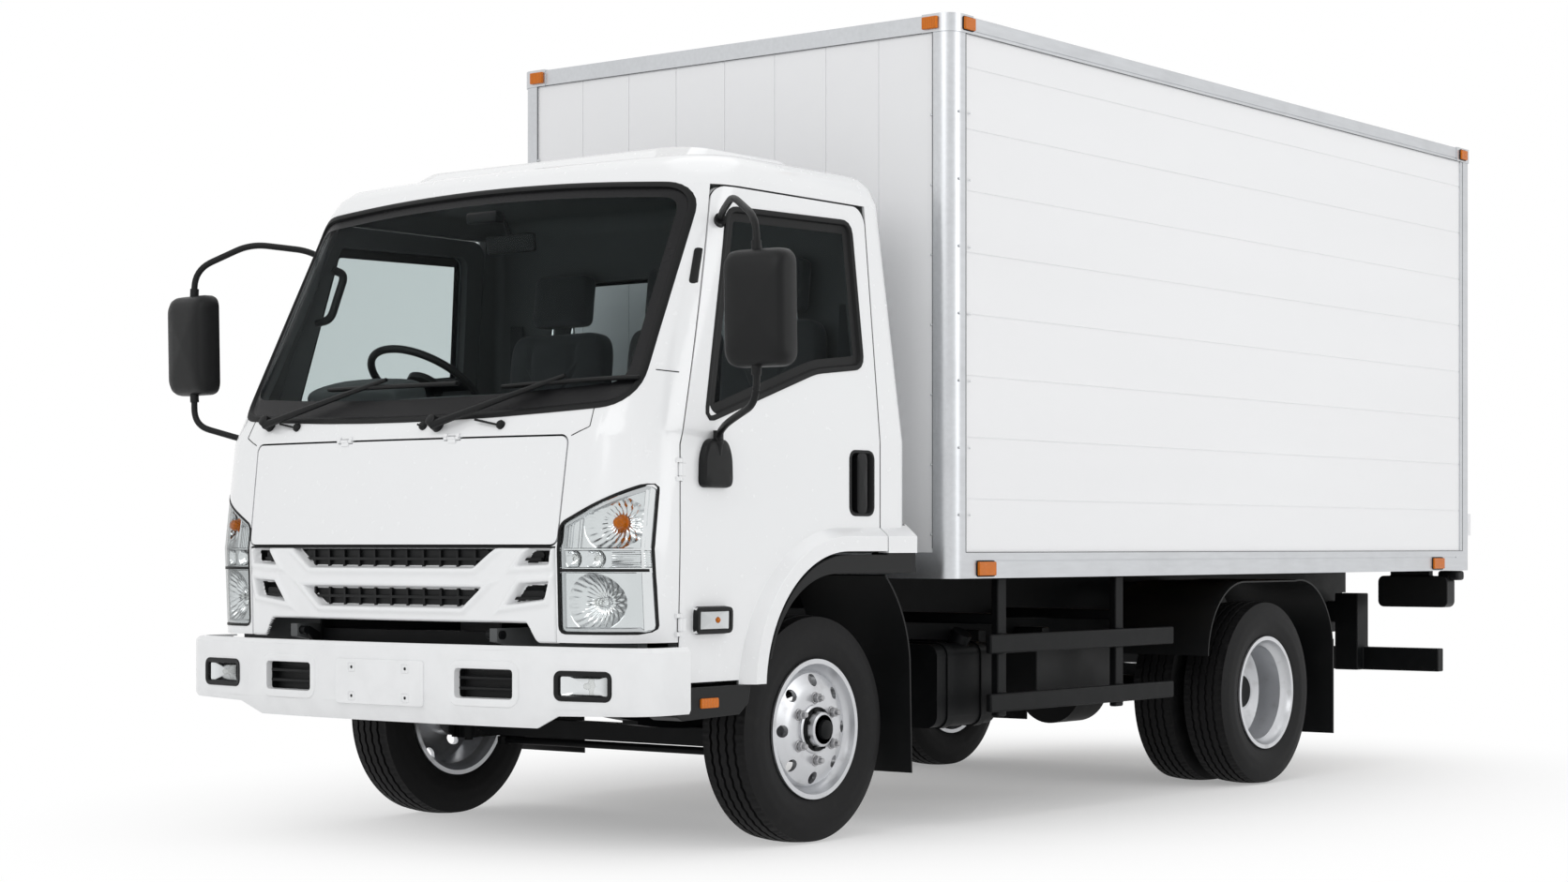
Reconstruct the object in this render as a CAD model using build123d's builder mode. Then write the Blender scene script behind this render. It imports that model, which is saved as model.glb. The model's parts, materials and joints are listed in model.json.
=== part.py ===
from build123d import *
import os
from collections import namedtuple
from math import cos, radians, sin, sqrt

# Cab-over box truck, right-hand drive, twin rear wheels.
# Millimetres. +X forward, +Y to the truck's left, +Z up, ground at Z = 0.
# Lengths along the truck are measured forward from the front axle and placed with ax().

# Whole truck
FRONT_OVERHANG = 1135
WHEELBASE = 3050
GAP = 6
PIN_GAP = 0.5

# Wheels
TYRE_RADIUS = 388
TYRE_WIDTH = 205
BEAD_RADIUS = 228
RIM_HALF = 96
FRONT_TRACK_HALF = 840
REAR_INNER_Y = 685
REAR_OUTER_Y = 925
AXLE_Z = TYRE_RADIUS
HUB_BORE = 36
REAR_BORE = 58
VENT_CIRCLE = 166
VENT_RADIUS = 21
VENT_COUNT = 8

# Load box
BOX_FRONT = -656
BOX_REAR = -5029
BOX_HALF = 1046
BOX_BOTTOM = 892
BOX_TOP = 2907
SIDE_RAIL_HEIGHT = 94
TOP_RAIL_HEIGHT = 62
POST_SIZE = 86
POST_ROUND = 58
REAR_POST = 60
CAP_PROUD = 4
CAP_LENGTH = 130
RAIL_LIP_DEPTH = 3
RAIL_LIP_DROP = 28
RAIL_LIP_WIDTH = 5
PANEL_THICK = 28
PANEL_RECESS = 6
ROOF_THICK = 32
FLOOR_THICK = 30
PLANK_PITCH = 221
PLANK_COUNT = 8
SEAM_WIDTH = 5
SEAM_DEPTH = 2.5
BOARD_PITCH = 240
BEARER_COUNT = 10

# Rear doors
LEAF_THICK = 42
REAR_HINGE_IN = 35
REAR_HINGE_BACK = 40
REAR_HINGE_RADIUS = 12
HINGE_DRUM_RADIUS = 30
HINGE_DRUM_Z = 1112
REAR_HINGE_Z = (HINGE_DRUM_Z, 1560, 2100, 2640)
LOCK_BAR_RADIUS = 11
LOCK_BAR_OFF = 17

# Truck ends and the place of the front axle
REARMOST = BOX_REAR - REAR_HINGE_BACK - HINGE_DRUM_RADIUS
FRONT_AXLE_X = -(FRONT_OVERHANG + REARMOST) / 2
REAR_AXLE = -WHEELBASE

# Frame rails
RAIL_HALF = 425
RAIL_FLANGE = 62
RAIL_WEB = 7
RAIL_BOTTOM = 590
RAIL_TOP = 780
RAIL_FRONT = 1000
RAIL_REAR = -4950
CROSS_MEMBERS = (960, -1250, -1700, -2350, -3700, -4500, -4920)

# Cab
CAB_WALL = 45
GLASS_DEPTH = 10
GLASS_THICK = 6
CAB_FLOOR_Z = 574
CAB_FRONT_BOTTOM = 705
ROOF_SPLIT = 2188
CAB_TILT_X = 1060
CAB_TILT_Z = 725
TILT_PIN = 14
TILT_PLATE = 16
TILT_PLATE_LENGTH = 130
TILT_PLATE_TIP = 13
TILT_ARM = 21
TILT_ARM_ROOT = 60
TUNNEL_HALF = 450
TUNNEL_SHEET = 32
DECK_Z = 985
FOOT_Z = 640
TOE_X = 875
TOE_SHEET = 30
RISER_X = 470
CabLevel = namedtuple("CabLevel", "height nose bow half_width rear corner rear_corner")
CAB_LEVELS = [
    CabLevel(CAB_FLOOR_Z, 1086, 78, 990, -455, 230, 60),
    CabLevel(1000, 1098, 78, 1000, -455, 230, 60),
    CabLevel(1370, 1050, 78, 1000, -455, 230, 60),
    CabLevel(2200, 640, 62, 928, -412, 200, 80),
    CabLevel(2255, 604, 61, 908, -398, 196, 80),
    CabLevel(2288, 560, 60, 880, -380, 190, 80),
    CabLevel(2304, 505, 58, 842, -352, 184, 80),
]
ROOF_SHOULDER = 3
ROOF_RAISE_TOP = 2358
ROOF_RAISE_REAR = -330
ROOF_RAISE_FRONT = 430
ROOF_RAISE_HALF = 690
ROOF_RAISE_DRAFT = 50
ROOF_RAISE_CORNER = 120
CAB_REAR = CAB_LEVELS[0].rear
CAB_HALF = CAB_LEVELS[1].half_width

# Door opening, seen from the side
DOOR_FRONT = 795
DOOR_REAR = -285
DOOR_BELT = 1330
DOOR_TOP_FRONT = 517
ARCH_TOP = 985
ARCH_X = -55
ARCH_RADIUS = 446
ARCH_Z = ARCH_TOP - ARCH_RADIUS
FLARE_TUCK = 80
FLARE_WIDTH = 100
FLARE_SLOPE = 42
FLARE_ROOT = 15
FLARE_PROUD = 35
DOOR_FOOT_DROP = 20
DOOR_WINDOW_CORNER = 40
SIDE_CUT_Y = 700
SIDE_CUT_LENGTH = 500
DOOR_HINGE_X = DOOR_FRONT - GAP / 2
DOOR_HINGE_Y = CAB_HALF
DOOR_HINGE_Z = (760, 1250)
HINGE_PIN = 4
HINGE_BARREL = 8

# Windscreen and back window
SCREEN_SILL_HALF = 905
SCREEN_SILL_Z = 1462
SCREEN_SILL_DROP = 34
SCREEN_HEAD_HALF = 872
SCREEN_HEAD_Z = 2176
SCREEN_HEAD_RISE = 40
SCREEN_CORNER = 90
FRONT_CUT_X = 300
FRONT_CUT_LENGTH = 1000
BACK_WINDOW_CORNER = 60
BACK_CUT_X = -700
BACK_CUT_LENGTH = 400

# Front of the cab
LID_HALF = 728
LID_BOTTOM = 1008
LID_TOP = 1362
LID_THICK = 26
LID_HINGE_X = 1049
LID_HINGE_Y = (-250, 250)
LAMP_INNER = 724
LAMP_OUTER = 984
LAMP_BOTTOM = 737
LAMP_INNER_TOP = 1078
LAMP_OUTER_TOP = 1210
LAMP_WALL = 44
LAMP_DEPTH = 110
LENS_THICK = 6
LampBowl = namedtuple("LampBowl", "x y z radius")
LAMP_BOWLS = [LampBowl(1012, 845, 828, 88), LampBowl(985, 893, 1072, 70)]
GRILLE_THICK = 30
SLOT_ROUND = 10
RIB_COUNT = 6
RIB_PITCH = 75
RIB_WIDTH = 9
RIB_INSET = 14

# Steering
KINGPIN_Y = 700
KINGPIN_RADIUS = 16
BOSS_RADIUS = 36
STEER_ARM = 190
STEER_ARM_Z = 285
WHEEL_HUB = (420, -505, 1585)
WHEEL_RADIUS = 212
WHEEL_TILT = 35

# Bumper
BUMPER_HALF = 1075
BUMPER_TOP = 693
BUMPER_BOTTOM = 434
BUMPER_SKIN = 6
BUMPER_LEDGE = 32
BUMPER_END_X = 1034
BUMPER_REAR_X = 830
BUMPER_CORNER = 110
BUMPER_DROP_HALF = 640
BUMPER_END_BOTTOM = 476
BUMPER_CUT_X = 700
BUMPER_CUT_LENGTH = 600
BUMPER_OPENING_ROUND = 15
BUMPER_VENT = ((336, 522), (575, 620))
FOG = ((742, 533), (938, 611))
FOG_INSET = 2
FOG_DEPTH = 30
PLATE_Z = 562.5
PLATE_HOLES_WIDE = 250
PLATE_HOLES_HIGH = 95
PLATE_HOLE = 4
BumperLevel = namedtuple("BumperLevel", "height inset")
BUMPER_LEVELS = [
    BumperLevel(BUMPER_BOTTOM, 30),
    BumperLevel(BUMPER_BOTTOM + 62, 0),
    BumperLevel(BUMPER_TOP - 14, 0),
    BumperLevel(BUMPER_TOP, 12),
]

# Engine, tank, batteries and exhaust
ENGINE_FRONT = 420
ENGINE_REAR = -520
ENGINE_HALF = 330
ENGINE_BOTTOM = 470
ENGINE_TOP = 920
ENGINE_FOOT_Z = 700
GEARBOX_REAR = -1100
GEARBOX_HALF = 190
GEARBOX_BOTTOM = 480
GEARBOX_TOP = 760
TANK_FRONT = -800
TANK_REAR = -1180
TANK_INNER = 480
TANK_OUTER = 880
TANK_BOTTOM = 346
TANK_TOP = 650
TANK_ROUND = 45
TANK_STRAP = 6
BATTERY_FRONT = -1500
BATTERY_REAR = -2100
BATTERY_INNER = 520
BATTERY_OUTER = 860
BATTERY_BOTTOM = 400
BATTERY_TOP = 620
BATTERY_ROUND = 16
SILENCER_FRONT = -1450
SILENCER_REAR = -2150
SILENCER_Y = -610
SILENCER_Z = 500
SILENCER_RADIUS = 110
PIPE_RADIUS = 30

# Mudguards, side guards and the back end
MUDGUARD_THICK = 6
FRONT_GUARD_INNER = 560
FRONT_GUARD_OUTER = 985
FRONT_FLAP_BOTTOM = 210
REAR_GUARD_INNER = 560
REAR_GUARD_OUTER = 1040
REAR_GUARD_TOP = 862
REAR_GUARD_TIP = 560
REAR_GUARD_FRONT = 540
REAR_GUARD_REAR = 580
REAR_GUARD_FLAT = 220
REAR_FLAP_BOTTOM = 185
GUARD_FRONT = -959
GUARD_REAR = -2287
GUARD_Y = 985
GUARD_BAR = 25
GUARD_BARS = ((615, 685), (400, 467))
GUARD_POSTS = (-1100, -1935)
GUARD_POST = 60
UNDERRUN_REAR = -4900
UNDERRUN_HALF = 980
UNDERRUN_BOTTOM = 410
UNDERRUN_TOP = 520
TAIL_REAR = -4985
TAIL_DEEP = 85
TAIL_INNER = 640
TAIL_OUTER = 1000
TAIL_BOTTOM = 715
TAIL_TOP = 865
TAIL_ROUND = 30

# Marker lamps
LAMP_PROUD = 12
SIDE_LAMPS = (-812, -4635)
SIDE_LAMP_LONG = 112
CAP_LAMPS = (-718, -4930)
CAP_LAMP_LONG = 66
CAP_LAMP_Z = (2856, 2900)
DOOR_LAMP_X = (554, 726)
DOOR_LAMP_Z = (731, 813)

# Mirrors, handles, steps and arch lips
MIRROR_X = 760
MIRROR_DEEP = 92
MIRROR_INNER = 1190
MIRROR_OUTER = 1440
MIRROR_BOTTOM = 1580
MIRROR_TOP = 1955
MIRROR_CORNER = 52
MIRROR_CROWN = 40
MIRROR_LIP = 10
MIRROR_TUBE = 11
MIRROR_FOOT_X = (560, 690)
MIRROR_FOOT_Z = (1195, 1355)
HANDLE_X = (-240, -109)
HANDLE_Z = (1117, 1331)
HANDLE_DEEP = 24
HANDLE_ROUND = 24
LIP_INNER = 960
LIP_OUTER = 1030
LIP_LOW_Z = 915
LIP_FOOT_X = 362
LIP_FOOT_Z = 640
STEP_REAR = 440
STEP_FRONT = 815
STEP_BOTTOM = 456
STEP_TOP = 560
STEP_INNER = 880
STEP_OUTER = 1005

# Inside of the cab
DASH_HALF = 925
DASH_ROUND = 16
COLUMN_START = 22
COLUMN_END = 560
COLUMN_RADIUS = 48
COLUMN_SHAFT = 12
WHEEL_GRIP = 14
HEADREST_HALF = 120
HEADREST_POST = 50
Seat = namedtuple("Seat", "y width")
SEATS = [Seat(-505, 480), Seat(60, 420), Seat(520, 440)]


def span(side, near, far):
    """Low and high place across the truck of a piece on one side."""
    return tuple(sorted((side * near, side * far)))


def ax(x):
    """Place along the truck of a length measured forward from the front axle."""
    return FRONT_AXLE_X + x


def outline(plane, points, round_off=0):
    """Closed polygon on a plane, with its corners rounded if asked."""
    with BuildSketch(plane) as sketch:
        with BuildLine():
            Polyline(*points, close=True)
        make_face()
        if round_off:
            fillet(sketch.vertices(), radius=round_off)
    return sketch.sketch


def prism(plane, points, depth, mode=Mode.ADD, round_off=0):
    """Polygon pushed out along the normal of its plane."""
    extrude(outline(plane, points, round_off), amount=depth, mode=mode)


def block(x, y, z, mode=Mode.ADD):
    """Square-cornered block between pairs of low and high places."""
    corners = [(x[0], y[0]), (x[1], y[0]), (x[1], y[1]), (x[0], y[1])]
    prism(Plane.XY.offset(z[0]), corners, z[1] - z[0], mode)


def both_sides(x, y, z, mode=Mode.ADD):
    """The same block on the left and on the right."""
    block(x, y, z, mode)
    block(x, (-y[1], -y[0]), z, mode)


def rod(start, end, radius, mode=Mode.ADD):
    """Round bar between two points."""
    way = Vector(*end) - Vector(*start)
    with BuildSketch(Plane(origin=start, z_dir=way)) as round_section:
        Circle(radius)
    extrude(round_section.sketch, amount=way.length, mode=mode)


def ring(start, end, radius, bore):
    """Round bar with a bore along it."""
    way = Vector(*end) - Vector(*start)
    with BuildSketch(Plane(origin=start, z_dir=way)) as round_section:
        Circle(radius)
        Circle(bore, mode=Mode.SUBTRACT)
    extrude(round_section.sketch, amount=way.length)


def bent_tube(points, radius, bend):
    """Round bar along a path with rounded bends."""
    with BuildLine() as path:
        FilletPolyline(*points, radius=bend)
    first = path.line @ 0
    with BuildSketch(Plane(origin=first, z_dir=path.line % 0)) as round_section:
        Circle(radius)
    sweep(round_section.sketch, path=path.line)


def other_side(part):
    """Mirror image of a left-hand piece."""
    with BuildPart() as right:
        mirror(part, about=Plane.XZ)
    return right.part


def turned(x, centre_y, points):
    """Body of revolution about a wheel axis, from pairs of offset and radius."""
    places = [(centre_y + offset, AXLE_Z + radius) for offset, radius in points]
    section = outline(Plane.YZ.offset(x), places)
    revolve(section, axis=Axis((x, 0, AXLE_Z), (0, 1, 0)))


# Cab volumes

def cab_section(level, inset):
    """Plan of the cab at one height: bowed front, rounded corners."""
    nose = ax(level.nose - inset)
    edge = ax(level.nose - level.bow - inset)
    half = level.half_width - inset
    rear = ax(level.rear + inset)
    with BuildSketch(Plane.XY.offset(level.height)) as section:
        with BuildLine():
            ThreePointArc((edge, -half), (nose, 0), (edge, half))
            Polyline((edge, half), (rear, half), (rear, -half), (edge, -half))
        make_face()
        fillet(section.vertices().group_by(Axis.X)[-1], radius=level.corner - inset)
        fillet(section.vertices().group_by(Axis.X)[0], radius=max(level.rear_corner - inset, 12))
    return section.sketch


def cab_volume(inset):
    """Cab outside moved inward by an inset: the rounded roof levels sink in step with the roof."""
    shoulder = CAB_LEVELS[ROOF_SHOULDER].height
    rise = CAB_LEVELS[-1].height - shoulder
    sections = []
    for level in CAB_LEVELS:
        sink = inset * max(level.height - shoulder, 0) / rise
        sections.append(cab_section(level._replace(height=level.height - sink), inset))
    with BuildPart() as volume:
        loft(sections, ruled=True)
    return volume.part


def cab_layer(outer, inner):
    """Part of the cab skin between two insets."""
    with BuildPart() as layer:
        add(cab_volume(outer))
        add(cab_volume(inner), mode=Mode.SUBTRACT)
    return layer.part


def door_outline(gap, near):
    """Door opening seen from the side, drawn in by a gap, at a width."""
    reach = ARCH_Z - (CAB_FLOOR_Z - DOOR_FOOT_DROP)
    foot = ARCH_X + sqrt(ARCH_RADIUS ** 2 - reach ** 2)
    middle = ARCH_RADIUS * sqrt(0.5)
    with BuildSketch(Plane.XZ.offset(-near)) as sketch:
        with BuildLine():
            Polyline(
                (ax(foot), CAB_FLOOR_Z - DOOR_FOOT_DROP), (ax(DOOR_FRONT), CAB_FLOOR_Z - DOOR_FOOT_DROP),
                (ax(DOOR_FRONT), DOOR_BELT), (ax(DOOR_TOP_FRONT), ROOF_SPLIT),
                (ax(DOOR_REAR), ROOF_SPLIT), (ax(DOOR_REAR), ARCH_TOP), (ax(ARCH_X), ARCH_TOP),
            )
            ThreePointArc(
                (ax(ARCH_X), ARCH_TOP), (ax(ARCH_X + middle), ARCH_Z + middle),
                (ax(foot), CAB_FLOOR_Z - DOOR_FOOT_DROP),
            )
        make_face()
        fillet(sketch.vertices().group_by(Axis.Y)[-1], radius=70)
        if gap:
            offset(amount=-gap, kind=Kind.INTERSECTION, mode=Mode.REPLACE)
    return sketch.sketch


def door_prism(gap):
    """Door opening pushed out over the left side."""
    near = CAB_HALF - 300
    with BuildPart() as push:
        extrude(door_outline(gap, near), amount=-500)
    return push.part


DOOR_WINDOW = [(655, 1412), (60, 1600), (-205, 1628), (-190, 2118), (468, 2105)]
BACK_WINDOW = [(-560, 1560), (560, 1560), (560, 2010), (-560, 2010)]
LAMP = [
    (LAMP_INNER, LAMP_BOTTOM), (LAMP_OUTER, LAMP_BOTTOM),
    (LAMP_OUTER, LAMP_OUTER_TOP), (LAMP_INNER, LAMP_INNER_TOP),
]


def placed(points):
    """Side-view points placed along the truck."""
    return [(ax(x), z) for x, z in points]


def flipped(points):
    """Front-view points of the other side."""
    return [(-y, z) for y, z in points]


def front_window(points, mode, round_off):
    """Front-view outline pushed forward through the front of the cab."""
    prism(Plane.YZ.offset(ax(FRONT_CUT_X)), points, FRONT_CUT_LENGTH, mode, round_off)


def lamp_window(points, mode):
    """Headlamp outline pushed forward through a front corner of the cab."""
    prism(Plane.YZ.offset(ax(DOOR_FRONT + 22)), points, 500, mode, 20)


def windscreen_face():
    """Windscreen seen from the front: bowed sill and header, raked sides, rounded corners."""
    sill = [(-SCREEN_SILL_HALF, SCREEN_SILL_Z), (0, SCREEN_SILL_Z - SCREEN_SILL_DROP),
            (SCREEN_SILL_HALF, SCREEN_SILL_Z)]
    head = [(SCREEN_HEAD_HALF, SCREEN_HEAD_Z), (0, SCREEN_HEAD_Z + SCREEN_HEAD_RISE),
            (-SCREEN_HEAD_HALF, SCREEN_HEAD_Z)]
    with BuildSketch(Plane.YZ.offset(ax(FRONT_CUT_X))) as face:
        with BuildLine():
            ThreePointArc(*sill)
            Line(sill[-1], head[0])
            ThreePointArc(*head)
            Line(head[-1], sill[0])
        make_face()
        fillet(face.vertices(), radius=SCREEN_CORNER)
    return face.sketch


def cut_windscreen():
    """Opening of the windscreen."""
    extrude(windscreen_face(), amount=FRONT_CUT_LENGTH, mode=Mode.SUBTRACT)


def front_volume(outlines, round_off):
    """Front-view outlines pushed forward through the front of the cab."""
    with BuildPart() as volume:
        for points in outlines:
            front_window(points, Mode.ADD, round_off)
    return volume.part


def lamp_volume():
    """Both headlamp outlines pushed forward through the front corners."""
    with BuildPart() as volume:
        lamp_window(LAMP, Mode.ADD)
        lamp_window(flipped(LAMP), Mode.ADD)
    return volume.part


def glass_volume():
    """Windscreen and back window pushed along the truck."""
    with BuildPart() as volume:
        extrude(windscreen_face(), amount=FRONT_CUT_LENGTH)
        prism(Plane.YZ.offset(ax(BACK_CUT_X)), BACK_WINDOW, BACK_CUT_LENGTH, round_off=BACK_WINDOW_CORNER)
    return volume.part


def door_window_volume():
    """Door window pushed out over the left side."""
    with BuildPart() as volume:
        prism(Plane.XZ.offset(-SIDE_CUT_Y), placed(DOOR_WINDOW), -SIDE_CUT_LENGTH,
              round_off=DOOR_WINDOW_CORNER)
    return volume.part


def flare_face(near, radius):
    """Wheel arch flare seen from the side: round over the wheel, then level to the back of the cab."""
    foot_z = CAB_FLOOR_Z - DOOR_FOOT_DROP
    inner = ARCH_RADIUS - FLARE_TUCK
    outer_foot = ARCH_X + sqrt(radius ** 2 - (ARCH_Z - foot_z) ** 2)
    inner_foot = ARCH_X + sqrt(inner ** 2 - (ARCH_Z - foot_z) ** 2)
    middle = sqrt(0.5)
    with BuildSketch(Plane.XZ.offset(-near)) as face:
        with BuildLine():
            ThreePointArc((ax(outer_foot), foot_z),
                          (ax(ARCH_X + radius * middle), ARCH_Z + radius * middle),
                          (ax(ARCH_X), ARCH_Z + radius))
            Polyline((ax(ARCH_X), ARCH_Z + radius), (ax(CAB_REAR), ARCH_Z + radius),
                     (ax(CAB_REAR), ARCH_Z + inner),
                     (ax(ARCH_X), ARCH_Z + inner))
            ThreePointArc((ax(ARCH_X), ARCH_Z + inner),
                          (ax(ARCH_X + inner * middle), ARCH_Z + inner * middle),
                          (ax(inner_foot), foot_z))
            Line((ax(inner_foot), foot_z), (ax(outer_foot), foot_z))
        make_face()
    return face.sketch


def flare_volume():
    """Bulge round the left wheel arch, sloped back to the side of the cab."""
    with BuildPart() as volume:
        loft([
            flare_face(CAB_HALF - FLARE_ROOT, ARCH_RADIUS + FLARE_WIDTH),
            flare_face(CAB_HALF + FLARE_PROUD, ARCH_RADIUS + FLARE_WIDTH - FLARE_SLOPE),
        ], ruled=True)
    return volume.part


SKIN = cab_layer(0, CAB_WALL)
GLASS_LAYER = cab_layer(GLASS_DEPTH, GLASS_DEPTH + GLASS_THICK)
LENS_LAYER = cab_layer(0, LENS_THICK)
DOOR_LEAF = door_prism(GAP)
INSIDE = cab_volume(CAB_WALL)


# Wheels

TYRE_SECTION = [
    (-82, BEAD_RADIUS), (-97, 262), (-TYRE_WIDTH / 2, 300), (-98, 346), (-86, 374), (-70, 384),
    (0, TYRE_RADIUS), (70, 384), (86, 374), (98, 346), (TYRE_WIDTH / 2, 300), (97, 262),
    (82, BEAD_RADIUS),
]
RIM_BARREL = [
    (-RIM_HALF, 238), (-RIM_HALF + 8, 238), (-RIM_HALF + 8, BEAD_RADIUS), (RIM_HALF - 8, BEAD_RADIUS),
    (RIM_HALF - 8, 238), (RIM_HALF, 238), (RIM_HALF, 222), (74, 214), (54, 198), (-54, 198),
    (-74, 214), (-RIM_HALF, 222),
]
FRONT_DISC = [(36, 200), (50, 200), (70, 190), (88, 150), (92, 128), (92, 74), (80, 74), (80, 124),
              (60, 176)]
FRONT_HUB = [
    (-62, HUB_BORE), (-62, 92), (-10, 92), (20, 84), (96, 84), (104, 62), (126, 58), (130, 52), (130, 0),
    (64, 0), (64, HUB_BORE),
]
OUTER_DISC = [(-60, 200), (-46, 200), (-100, 152), (-104, 90), (-118, 90), (-118, 152)]
INNER_DISC = [(46, 200), (60, 200), (122, 152), (122, 90), (108, 90), (108, 150)]
REAR_HUB = [
    (-330, REAR_BORE), (-330, 150), (-240, 150), (-240, 110), (-128, 110), (-100, 98), (-60, 96), (-20, 80),
    (-20, 0), (-60, 0), (-60, REAR_BORE),
]


def tyre_front_left():
    with BuildPart() as tyre:
        turned(ax(0), FRONT_TRACK_HALF, TYRE_SECTION)
    return tyre.part


def rim_front_left():
    with BuildPart() as rim:
        turned(ax(0), FRONT_TRACK_HALF, RIM_BARREL)
        turned(ax(0), FRONT_TRACK_HALF, FRONT_DISC)
        turned(ax(0), FRONT_TRACK_HALF, FRONT_HUB)
        with BuildSketch(Plane(origin=(ax(0), FRONT_TRACK_HALF + 30, AXLE_Z), z_dir=(0, 1, 0))):
            with PolarLocations(VENT_CIRCLE, VENT_COUNT):
                Circle(VENT_RADIUS)
        extrude(amount=80, mode=Mode.SUBTRACT)
    return rim.part


def tyres_rear_left():
    with BuildPart() as tyres:
        for centre in (REAR_INNER_Y, REAR_OUTER_Y):
            turned(ax(REAR_AXLE), centre, TYRE_SECTION)
    return tyres.part


def rims_rear_left():
    with BuildPart() as rims:
        for centre in (REAR_INNER_Y, REAR_OUTER_Y):
            turned(ax(REAR_AXLE), centre, RIM_BARREL)
        turned(ax(REAR_AXLE), REAR_OUTER_Y, OUTER_DISC)
        turned(ax(REAR_AXLE), REAR_INNER_Y, INNER_DISC)
        turned(ax(REAR_AXLE), REAR_OUTER_Y, REAR_HUB)
        with BuildSketch(Plane(origin=(ax(REAR_AXLE), REAR_INNER_Y + 60, AXLE_Z), z_dir=(0, 1, 0))):
            with PolarLocations(VENT_CIRCLE - 26, VENT_COUNT):
                Circle(VENT_RADIUS)
        extrude(amount=110, mode=Mode.SUBTRACT)
    return rims.part


# Frame and running gear

def frame_rail_left():
    low = RAIL_HALF - RAIL_FLANGE
    section = [
        (RAIL_HALF, RAIL_BOTTOM), (RAIL_HALF, RAIL_TOP), (low, RAIL_TOP), (low, RAIL_TOP - RAIL_WEB),
        (RAIL_HALF - RAIL_WEB, RAIL_TOP - RAIL_WEB), (RAIL_HALF - RAIL_WEB, RAIL_BOTTOM + RAIL_WEB),
        (low, RAIL_BOTTOM + RAIL_WEB), (low, RAIL_BOTTOM),
    ]
    tip = TILT_PLATE_TIP
    plate = placed([
        (RAIL_FRONT - TILT_PLATE_LENGTH, RAIL_BOTTOM + 60), (RAIL_FRONT, RAIL_BOTTOM + 60),
        (CAB_TILT_X + tip, CAB_TILT_Z + tip), (CAB_TILT_X - tip, CAB_TILT_Z + tip),
    ])
    with BuildPart() as rail:
        prism(Plane.YZ.offset(ax(RAIL_REAR)), section, RAIL_FRONT - RAIL_REAR)
        prism(Plane.XZ.offset(-RAIL_HALF - TILT_PLATE), plate, TILT_PLATE)
        rod((ax(CAB_TILT_X), RAIL_HALF, CAB_TILT_Z),
            (ax(CAB_TILT_X), TUNNEL_HALF + TUNNEL_SHEET + 8, CAB_TILT_Z), TILT_PIN)
    return rail.part


def frame_cross_members():
    inner = RAIL_HALF - RAIL_WEB
    with BuildPart() as members:
        for x in CROSS_MEMBERS:
            block((ax(x - 30), ax(x + 30)), (-inner, inner), (RAIL_BOTTOM + 50, RAIL_TOP - 50))
    return members.part


def front_axle():
    with BuildPart() as axle:
        beam = [(-KINGPIN_Y, 352), (-560, 310), (560, 310), (KINGPIN_Y, 352), (KINGPIN_Y, 414), (540, 374),
                (-540, 374), (-KINGPIN_Y, 414)]
        prism(Plane.YZ.offset(ax(-32)), beam, 64)
        for side in (1, -1):
            y = side * KINGPIN_Y
            rod((ax(0), y, AXLE_Z - 46), (ax(0), y, AXLE_Z + 46), BOSS_RADIUS)
            rod((ax(0), y, AXLE_Z - 106), (ax(0), y, AXLE_Z + 106), KINGPIN_RADIUS)
    return axle.part


def knuckle_left():
    with BuildPart() as knuckle:
        for low in (AXLE_Z - 96, AXLE_Z + 52):
            ring((ax(0), KINGPIN_Y, low), (ax(0), KINGPIN_Y, low + 44), BOSS_RADIUS,
                 KINGPIN_RADIUS + PIN_GAP)
        web = [(KINGPIN_Y + BOSS_RADIUS + GAP, AXLE_Z - 96), (KINGPIN_Y + 70, AXLE_Z - 80),
               (KINGPIN_Y + 70, AXLE_Z + 80), (KINGPIN_Y + BOSS_RADIUS + GAP, AXLE_Z + 96)]
        prism(Plane.YZ.offset(ax(-34)), web, 68)
        for low in (AXLE_Z - 96, AXLE_Z + 52):
            block((ax(-30), ax(30)), (KINGPIN_Y + 22, KINGPIN_Y + 60), (low, low + 44))
        rod((ax(0), KINGPIN_Y + 60, AXLE_Z), (ax(0), FRONT_TRACK_HALF + 55, AXLE_Z), HUB_BORE - PIN_GAP)
        block((ax(-STEER_ARM), ax(-20)), (KINGPIN_Y - 20, KINGPIN_Y + 20), (AXLE_Z - 96, AXLE_Z - 70))
        rod((ax(-STEER_ARM), KINGPIN_Y, AXLE_Z - 70), (ax(-STEER_ARM), KINGPIN_Y, AXLE_Z - 96), 24)
        rod((ax(0), KINGPIN_Y, AXLE_Z - 120), (ax(0), KINGPIN_Y, AXLE_Z + 120), KINGPIN_RADIUS + PIN_GAP,
            Mode.SUBTRACT)
        rod((ax(-STEER_ARM), KINGPIN_Y, AXLE_Z - 80), (ax(-STEER_ARM), KINGPIN_Y, STEER_ARM_Z - 24), 10)
    return knuckle.part


def tie_rod():
    z = STEER_ARM_Z - 12
    with BuildPart() as link:
        rod((ax(-STEER_ARM), -KINGPIN_Y, z), (ax(-STEER_ARM), KINGPIN_Y, z), 14)
        for side in (1, -1):
            y = side * KINGPIN_Y
            rod((ax(-STEER_ARM), y, z - 18), (ax(-STEER_ARM), y, z + 12), 24)
        for side in (1, -1):
            y = side * KINGPIN_Y
            rod((ax(-STEER_ARM), y, z - 30), (ax(-STEER_ARM), y, z + 40), 10 + PIN_GAP, Mode.SUBTRACT)
    return link.part


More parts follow.
